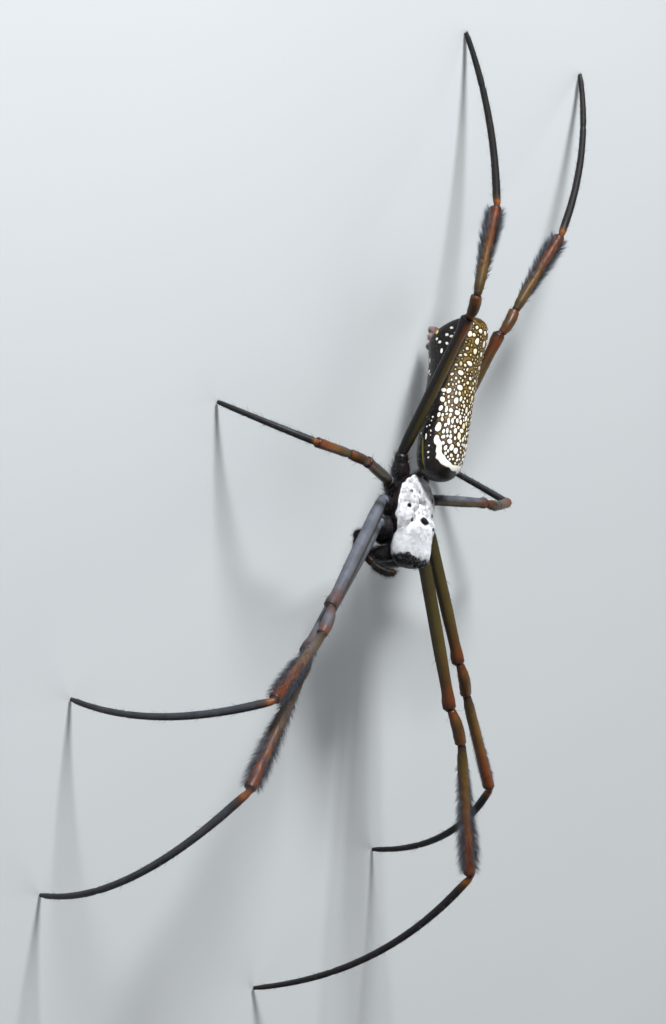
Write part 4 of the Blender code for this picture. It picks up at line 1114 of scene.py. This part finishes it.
def leg_paint(name, number, across, columns):
    """Painted sheen and shade at every point of a leg: a share round it times a share along it, and joints on
    top.
    """
    side, pair, *_ = LEGS[name]
    outer = math.copysign(1.0, across[np.argmin(np.abs(number - 1.5)), 0] * side)
    turn = np.degrees(np.linspace(0.0, math.tau, columns, endpoint=False))[None] * outer
    centre, half = PAINTED_SHEEN_PLACE[name]
    # The patellae of the first two right legs carry a stronger painted sheen than the others.
    knee_bloom = (0.7 if side < 0 and pair < 3 else 0.12) * bell(number - 2.5, 0.33)
    bloom = np.clip((half - from_angle(turn, centre)) / 26.0, 0.0, 1.0)
    bloom = bloom * np.maximum(eased(PAINTED_SHEEN_SHARE, number), knee_bloom)[:, None]
    low = from_angle(turn, 0.0)
    share = SHADE_SHARE[name] * (number < 2.0) + 0.35 * (number >= 2.0)
    shaded = np.clip((low - 28.0) / 30.0, 0.0, 1.0) * share[:, None]
    shaded = np.maximum(shaded, 0.4 * (pair == 3) * bell(number - 2.5, 0.3)[:, None])
    joint = sum(bell(number - knee, wide) for knee, wide in JOINT_SHADES)[:, None]
    return bloom, np.maximum(shaded, joint * np.clip((low - 60.0) / 50.0, 0.0, 1.0))

# %% [markdown]
# ## The brushes and the other leg hairs
# Six tibiae carry a brush of stiff blue-black hair. Its hairs leave the skin at about forty-five degrees
# towards the foot and are densest on two opposite sides, so that a stripe of cuticle shows between.
# The femora have short hairs that lie almost flat, and the feet have short ones with longer bristles.

# %% Leg skins and hairs
BRUSH_SPAN = (0.14, 0.95)
BRUSH_FULLNESS = ((0.0, 0.2), (0.2, 0.5), (0.42, 0.85), (0.65, 1.0), (0.82, 0.95), (0.94, 0.7), (1.0, 0.4))
BRUSH_HAIRS, BRUSH_TUFTS = 3000, 300
STRIPE = unit(np.array([-0.78, 0.0, 0.62]))
# The brush's leans in radians, spread, lengths, width and bend.
BRUSH_COAT = ((0.5, 1.0), 0.1, (0.6, 1.25), 0.025, 0.14)
HAIR_FLOOR = 0.02
# Each coat's first and last segment number and count, and then the same five.
LEG_COATS = (
    (0.12, 1.0, 500, (0.5, 1.1), 0.15, (0.35, 0.8), 0.022, 0.1),
    (1.03, 1.98, 900, (0.25, 0.6), 0.1, (0.18, 0.34), 0.014, 0.1),
    (2.04, 3.2, 320, (0.35, 0.9), 0.12, (0.2, 0.42), 0.016, 0.1),
    (3.05, 3.97, 420, (0.35, 0.7), 0.1, (0.2, 0.4), 0.016, 0.1),
    (4.0, 6.0, 1500, (0.3, 0.75), 0.1, (0.2, 0.38), 0.018, 0.08),
    (4.03, 5.9, 110, (0.5, 0.95), 0.1, (0.5, 0.95), 0.03, 0.12),
    (1.1, 3.95, 64, (0.5, 1.0), 0.1, (0.6, 1.0), 0.034, 0.1),
)

# %% One coat of hair, and the brush
def leg_coat(rings, number, weight, draw, count, leans, spread, lengths, width, bend):
    """Roots, ways, bends, lengths, widths, UVs and segment numbers for one kind of hair on a leg.

    A way is normal * sin(lean) + along the leg * cos(lean), plus a random spread.
    """
    roots, normals, way, uv, row, _ = scatter(rings, weight, count, draw)
    lean = draw.uniform(*leans, count)[:, None]
    ways = normals * np.sin(lean) + way * np.cos(lean) + draw.normal(scale=spread, size=(count, 3))
    length = draw.uniform(*lengths, count)
    bends = way * bend - normals * bend * 0.5
    return roots - normals * 0.04, unit(ways), bends, length, np.full(count, width), uv, number[row]


def gathered(roots, ways, bends, length, tufts, pull, draw):
    """The hairs drawn into tufts: each tip moves part of the way to that of the nearest tuft's middle hair."""
    tips = roots + (ways + bends) * length[:, None]
    chosen = draw.choice(len(roots), tufts, replace=False)
    nearest = chosen[np.linalg.norm(roots[:, None] - roots[chosen][None], axis=2).argmin(1)]
    moved = tips + (tips[nearest] - tips) * pull
    return unit((moved - roots) / length[:, None] - bends)


def brush_share(number):
    """How far along the brush a segment number is: nothing at its start and one at its end."""
    return (number - 3.0 - BRUSH_SPAN[0]) / (BRUSH_SPAN[1] - BRUSH_SPAN[0])


def brush_coat(rings, number, between, brush, draw):
    """The tibia's brush: densest on two opposite sides, longest in the middle, and drawn into tufts."""
    flank = 1.0 - np.abs(unit(face_vectors(rings)[0]) @ STRIPE)
    share = brush_share(between)
    full = eased(BRUSH_FULLNESS, share) * (share > 0.0) * (share < 1.0)
    weight = full[:, None] * (0.12 + flank**1.2)
    roots, ways, bends, length, width, uv, at = leg_coat(
        rings, number, weight, draw, int(BRUSH_HAIRS * brush), *BRUSH_COAT)
    length = length * 1.4 * (0.25 + 0.75 * eased(BRUSH_FULLNESS, brush_share(at))) * brush
    ways = gathered(roots, ways, bends, length, int(BRUSH_TUFTS * brush), 0.5, draw)
    return roots, ways, bends, length, width, uv, at


def leg_hairs(rings, number, brush, draw):
    """All of a leg's hairs, cut short where they would go through the floor, with a shade for each."""
    between = (number[:-1] + number[1:]) / 2.0
    coats = []
    for low, high, *coat in LEG_COATS:
        weight = ((between >= low) & (between <= high)).astype(float)[:, None]
        coats.append(leg_coat(rings, number, weight, draw, *coat))
    if brush:
        coats.append(brush_coat(rings, number, between, brush, draw))
    roots, ways, bends, length, width, uv, at = (np.concatenate(values) for values in zip(*coats))
    shade = draw.random(len(roots)) * np.where(at - 3.0 > BRUSH_SPAN[0] if brush else at < 0.0, 1.0, 0.35)
    shade = np.where(at < 4.0, shade, shade * 0.35)
    roots[:, 2] = np.maximum(roots[:, 2], HAIR_FLOOR)
    reach = roots[:, 2] + length * (ways[:, 2] + bends[:, 2])
    share = np.clip((roots[:, 2] - HAIR_FLOOR) / np.maximum(roots[:, 2] - reach, 1e-6), 0.05, 1.0)
    return roots, ways, bends, np.where(reach < HAIR_FLOOR, length * share, length), width, uv, shade

# %% Dress all eight legs
leg_faces = hair_count = 0
for order, name in enumerate(LEGS):
    brush = LEGS[name][-1]
    rings, number, across = leg_rings(name)
    # Each skin carries the painted sheen and the painted shade as numbers that its material reads.
    bloom, shaded = leg_paint(name, number, across, rings.shape[1])
    nodes = [f"{name}_{part}" for part in ("coxa", "femur", "tibia", "foot")]
    make_skin(name + "_skin", rings, leg_looks, "olive_cuticle", nodes, segment=number[:, None], bloom=bloom,
              shaded=shaded)
    *hairs, shade = leg_hairs(rings, number, brush, np.random.default_rng(100 + order))
    make_hairs(name + "_hairs", *hairs, dark_hair, "rust_cuticle" if brush else "grey_cuticle", shade)
    leg_faces += rings.shape[0] * rings.shape[1] * 2
    hair_count += len(shade)
print("legs: skin triangles", leg_faces, "hairs", hair_count)

# %% [markdown]
# ## Jaws, fangs and feelers
# Each jaw is a stout glossy black pillar with a short curved fang folded under it. The two feelers
# beside them look like small legs: a dark hairy knee, a reddish tibia and a narrow tip. All are
# profiles carried along rounded paths, with a coat of bristles.

# %% Jaws and fangs
JAW_PATH = np.array([(1.0, -4.0, -0.5), (1.13, -4.4, -1.7), (1.13, -4.5, -2.9), (1.03, -4.35, -4.2),
                     (0.97, -4.25, -4.8)])
JAW_GIRTH = ((0.0, 0.8), (0.25, 0.98), (0.55, 1.02), (0.82, 0.9), (0.95, 0.56), (1.0, 0.3))
FANG_PATH = np.array([(0.98, -4.22, -4.62), (1.1, -4.1, -5.25), (0.95, -3.95, -5.75), (0.6, -3.7, -6.0),
                      (0.28, -3.45, -5.85)])
FANG_GIRTH = ((0.0, 0.34), (0.25, 0.32), (0.45, 0.25), (0.7, 0.17), (1.0, 0.03))
JAW_HAIRS = 900


def body_path(points, side, count, softness):
    """A rounded path in the cephalothorax's frame, mirrored for its side, and how far along each place is."""
    points = body_place(side * points[:, 0], points[:, 1], points[:, 2])
    length = lengths_along(points)[-1]
    t = np.linspace(0.0, 1.0, count)
    t = t - 0.1 * np.sin(math.tau * t)
    return along_path(points, t * length, softness), t


jaw_hairs = []
draw = np.random.default_rng(51)
for side, word in SIDES:
    places, t = body_path(JAW_PATH, side, 60, 0.35)
    blunt = np.sqrt(np.clip(1.0 - np.clip(t - 0.9, 0.0, 0.1) ** 2 * 80.0, 0.2, 1.0))
    radius = np.minimum(eased(JAW_GIRTH, t), 1.0) * blunt
    radius = radius * (0.45 + 0.55 * np.sqrt(np.clip(t / 0.1, 0.0, 1.0)))
    rings = tube(places, radius, SIDEWAYS, 40, 0.96)
    make_skin(f"jaw_{word}", rings, black_cuticle, "dark_cuticle", (f"chelicera_{word}",))
    roots, normals, ways, length, uv, _ = lying_hairs(
        rings, 1.0, JAW_HAIRS, None, (0.4, 1.2), 0.2, (0.25, 0.7), 0.03, draw)
    jaw_hairs.append((roots, ways, -normals * 0.2, length, uv))
    places, t = body_path(FANG_PATH, side, 30, 0.2)
    rings = tube(places, np.interp(t, *zip(*FANG_GIRTH)), SIDEWAYS, 20)
    make_skin(f"fang_{word}_hook", rings, claw_cuticle, "dark_cuticle", (f"fang_{word}",))
print("jaws and fangs: 4 pieces")

# %% Feelers
PALP_PATHS = {
    "right": np.array([(1.9, -2.9, -2.2), (2.7, -2.6, -3.7), (3.3, -2.6, -4.9), (3.1, -3.6, -4.9),
                       (2.7, -5.0, -3.9), (2.0, -6.3, -2.7), (1.3, -6.8, -1.5), (0.9, -6.65, -0.6)]),
    "left": np.array([(1.9, -2.9, -2.2), (2.7, -2.6, -3.5), (3.2, -2.6, -4.5), (3.0, -3.1, -5.2),
                      (2.6, -3.4, -5.7), (2.1, -3.5, -6.1), (1.6, -3.4, -6.5), (1.25, -3.3, -6.8)]),
}
PALP_GIRTH = ((0.0, 0.38), (0.08, 0.5), (0.2, 0.6), (0.31, 0.6), (0.345, 0.46), (0.39, 0.6), (0.46, 0.54),
              (0.49, 0.4), (0.54, 0.47), (0.66, 0.49), (0.7, 0.4), (0.75, 0.49), (0.88, 0.5), (0.95, 0.42),
              (1.0, 0.14))
FEELER_HAIRS = 1500

palp_looks, tree, shader = new_material("feeler_cuticle", Coat_Weight=0.0, Coat_Roughness=0.25,
                                        Specular_IOR_Level=0.1)
colour = ramp(tree, read_number(tree, "along"),
              ((0.0, (0.004, 0.003, 0.003)), (0.33, (0.005, 0.003, 0.003)), (0.4, (0.012, 0.004, 0.003)),
               (0.52, (0.035, 0.009, 0.004)), (0.62, (0.01, 0.004, 0.003)), (0.88, (0.006, 0.004, 0.003)),
               (0.96, (0.02, 0.008, 0.004)), (1.0, (0.06, 0.022, 0.008))))
tone = add_grain(tree, shader, 1.0, 0.25)
dull_patch = maths(tree, "MULTIPLY", soft_step(tree, tone, 0.4, 0.7), 0.5)
join(tree, blend_colours(tree, dull_patch, colour, (0.012, 0.006, 0.005)), shader.inputs["Base Color"])
join(tree, maths(tree, "MULTIPLY_ADD", tone, 0.2, 0.32), shader.inputs["Roughness"])
for side, word in SIDES:
    places, t = body_path(PALP_PATHS[word], side, 120, 0.22)
    rings = tube(places, eased(PALP_GIRTH, t), SIDEWAYS, 28)
    make_skin(f"feeler_{word}", rings, palp_looks, "brown_cuticle", (f"palp_{word}",), along=t[:, None])
    draw = np.random.default_rng(60 + side)
    weight = (0.4 + bell(t[:-1] - 0.3, 0.12) + bell(t[:-1] - 0.85, 0.15))[:, None]
    roots, normals, way, uv, row, _ = scatter(rings, weight, FEELER_HAIRS, draw)
    lean = draw.uniform(0.35, 1.05, FEELER_HAIRS)[:, None]
    spread = draw.normal(scale=0.1, size=(FEELER_HAIRS, 3))
    ways = unit(normals * np.sin(lean) + way * np.cos(lean) + spread)
    length = draw.uniform(0.22, 0.75, FEELER_HAIRS) * np.where(t[row] < 0.2, 0.5, 1.0)
    make_hairs(f"feeler_{word}_hairs", roots - normals * 0.03, ways, way * 0.15, length, 0.02, uv, dark_hair,
               "brown_cuticle", draw.random(FEELER_HAIRS) * 0.25)
roots, ways, bends, length, uv = (np.concatenate(values) for values in zip(*jaw_hairs))
make_hairs("jaw_hairs", roots, ways, bends, length, 0.022, uv, dark_hair, "dark_cuticle",
           draw.random(len(roots)) * 0.12)
print("feelers: 2 skins, hairs:", 2 * FEELER_HAIRS + len(roots))

# %% [markdown]
# ## The underside
# Below the head lie two broad plates beside the jaws and a small lip between them, and behind them the
# heart-shaped shield between the legs. They are seldom seen in this pose, but the model is lifted and
# turned in the hand, so each gets its own rounded skin and a glossy finish, and the plates and the shield
# get a few bristles.

# %% Plates, stalk and shield
PLATE_HAIRS, SHIELD_HAIRS = 1500, 500
pitch_turn = Matrix.Rotation(-BODY_PITCH, 3, "X")
body_up = way_in(body_place, 0.0, 0.0, 1.0)
for side, word in SIDES:
    turned = pitch_turn @ Matrix.Rotation(math.radians(side * 14), 3, "Z")
    plate = ball_rings(body_place(side * 1.1, -2.3, -2.82), (0.6, 0.76, 0.82), turned, 40, 48)
    make_skin(f"mouth_plate_{word}", plate, black_cuticle, "dark_cuticle", (f"maxilla_{word}",))
    draw = np.random.default_rng(70 + side)
    facing, _ = face_vectors(plate)
    fringe = 0.1 + np.clip(unit(facing) @ unit(forward - body_up * 0.5), 0.0, 1.0) ** 2
    roots, normals, ways, length, uv, _ = lying_hairs(
        plate, fringe, PLATE_HAIRS, forward - body_up * 0.6, (0.5, 2.0), 0.25, (0.25, 0.7), 0.03, draw)
    make_hairs(f"mouth_plate_{word}_hairs", roots, ways, -normals * 0.1, length, 0.024, uv, dark_hair,
               "dark_cuticle", draw.random(PLATE_HAIRS) * 0.12)
lip = ball_rings(body_place(0.0, -2.1, -2.22), (0.38, 0.48, 0.36), pitch_turn, 24, 32)
make_skin("lip", lip, black_cuticle, "dark_cuticle", ("labium",))


def shield_rings(rows=60, columns=72):
    """A flattened ball narrowed towards the rear, with a low ridge and a knob by each leg's root."""
    polar = np.linspace(0.05, math.pi - 0.05, rows)[:, None]
    turn = np.linspace(0.0, math.tau, columns, endpoint=False)[None]
    x, y = 1.3 * np.sin(polar) * np.cos(turn), -2.3 * np.cos(polar) + 0.0 * turn
    z = 0.58 * np.sin(polar) * np.sin(turn)
    knobs = sum(bell(np.abs(x) - 0.85, 0.22) * bell(y - place, 0.3) for place in (-1.4, -0.3, 0.8))
    z = z - (0.09 * knobs + 0.05 * bell(x, 0.25)) * (z < 0.0)
    return body_place(x * (1.0 - 0.22 * (y + 1.0) / 2.35), y + 0.95, z - 2.02)


shield = shield_rings()
make_skin("leg_shield", shield, brown_cuticle, "brown_cuticle", ("sternum",))
draw = np.random.default_rng(73)
roots, normals, ways, length, uv, _ = lying_hairs(
    shield, 1.0, SHIELD_HAIRS, forward, (0.3, 1.0), 0.3, (0.15, 0.4), 0.02, draw)
make_hairs("leg_shield_hairs", roots, ways, -normals * 0.1, length, 0.016, uv, dark_hair, "brown_cuticle",
           draw.random(SHIELD_HAIRS))

front_end, rear_end = body_place(0.0, 3.9, -0.7), abdomen_place(0.0, -7.6, -1.4)
length = float(np.linalg.norm(rear_end - front_end))
at = np.linspace(0.0, length, 30)
places = front_end + (rear_end - front_end) * (at / length)[:, None]
waist = 0.52 + 0.05 * np.cos(at * 9.0) - 0.04 * bell(at - length / 2, 0.5)
stalk = tube(places, waist * rounded_ends(at, length, 0.12) + 0.02, SIDEWAYS, 28)
make_skin("waist", stalk, brown_cuticle, "dark_cuticle", ("pedicel",))
print("underside: two plates, lip, shield and stalk, hairs:", 2 * PLATE_HAIRS + SHIELD_HAIRS)

# %% [markdown]
# ## Spinnerets and claws
# Three pairs of short stepped cones stand on a low pinkish mound under the tail. Each foot ends in three
# small dark hooks.

# %% Spinnerets
MOUND = (7.3, -2.8)
# Each pair of cones: how far behind the mound's middle it stands, how far from the midline, its length.
CONES = ((-0.8, 0.52, 0.85), (0.05, 0.75, 0.65), (0.85, 0.45, 0.95))
CONE_GIRTH = ((0.0, 0.46), (0.3, 0.48), (0.6, 0.43), (0.64, 0.38), (0.7, 0.42), (0.9, 0.3), (0.97, 0.2),
              (1.0, 0.06))
CONE_HAIRS = 260
abdomen_turn = Matrix.Rotation(-ABDOMEN_PITCH, 3, "X")
cones = [ball_rings(abdomen_place(0.0, *MOUND), (1.2, 1.3, 0.86), abdomen_turn, 36, 44)]
for side in (-1, 1):
    for away, spread, length in CONES:
        root = abdomen_place(side * spread, MOUND[0] + away, MOUND[1] - 0.35)
        tip = abdomen_place(side * spread * 0.9, MOUND[0] + away * 1.35, MOUND[1] - 0.4 - length)
        t = np.linspace(0.0, 1.0, 26)
        radius = np.interp(t, *zip(*CONE_GIRTH))
        cones.append(tube(root + (tip - root) * t[:, None], radius, SIDEWAYS, 24))
make_group("spinneret_cones", cones, rosy_cuticle, ("spinnerets",))
draw = np.random.default_rng(74)
below = way_in(abdomen_place, 0.0, 0.3, -1.0)
hairs = []
for cone in cones:
    roots, _, ways, length, uv, _ = lying_hairs(
        cone, 1.0, CONE_HAIRS, below, (0.3, 0.9), 0.2, (0.15, 0.4), 0.03, draw)
    hairs.append((roots, ways, length, uv))
roots, ways, length, uv = (np.concatenate(values) for values in zip(*hairs))
make_hairs("spinneret_hairs", roots, ways, ways * 0.0, length, 0.014, uv, pale_hair, "brown_cuticle",
           0.4 + 0.6 * draw.random(len(roots)), steps=1)
print("spinnerets:", len(cones) - 1, "cones, hairs:", len(roots))

# %% Claws
# Each claw: how far it stands and spreads to the side, and its length.
CLAWS = ((-0.09, 0.3), (0.09, 0.3), (0.0, 0.2))
CLAW_LIFT, CLAW_FLOOR = 0.08, 0.035
claws = []
for name in LEGS:
    points, _ = leg_points(name)
    tip, way = points[-1], unit(points[-1] - points[-4])
    flat_way = unit(way * (1.0, 1.0, 0.0))
    across = np.array([flat_way[1], -flat_way[0], 0.0])
    for spread, size in CLAWS:
        t = np.linspace(0.0, 1.0, 12)[:, None]
        start = tip - way * 0.1 + across * spread + UPWARD * CLAW_LIFT
        rise = 0.1 * np.sin(math.pi * t) - 0.12 * t
        hook = start + flat_way * size * t + across * spread * t + UPWARD * rise
        hook[:, 2] = np.maximum(hook[:, 2], CLAW_FLOOR)
        claws.append(tube(hook, 0.032 * (1.0 - t[:, 0]) ** 0.6 + 0.003, across, 8))
make_group("foot_claws", claws, claw_cuticle, ())
print("claws:", len(claws))

# %% [markdown]
# ## The floor
# A matt pale studio floor with a very faint unevenness.

# %% Floor material
floor_looks, tree, shader = new_material("pale_floor", Roughness=0.75)
cloud = noise(tree, object_place(tree), 14.0, Detail=3.0)
join(tree, blend_colours(tree, cloud, (0.53, 0.55, 0.55), (0.59, 0.6, 0.6)), shader.inputs["Base Color"])
floor.data.materials.append(floor_looks)
print("materials:", len(bpy.data.materials))
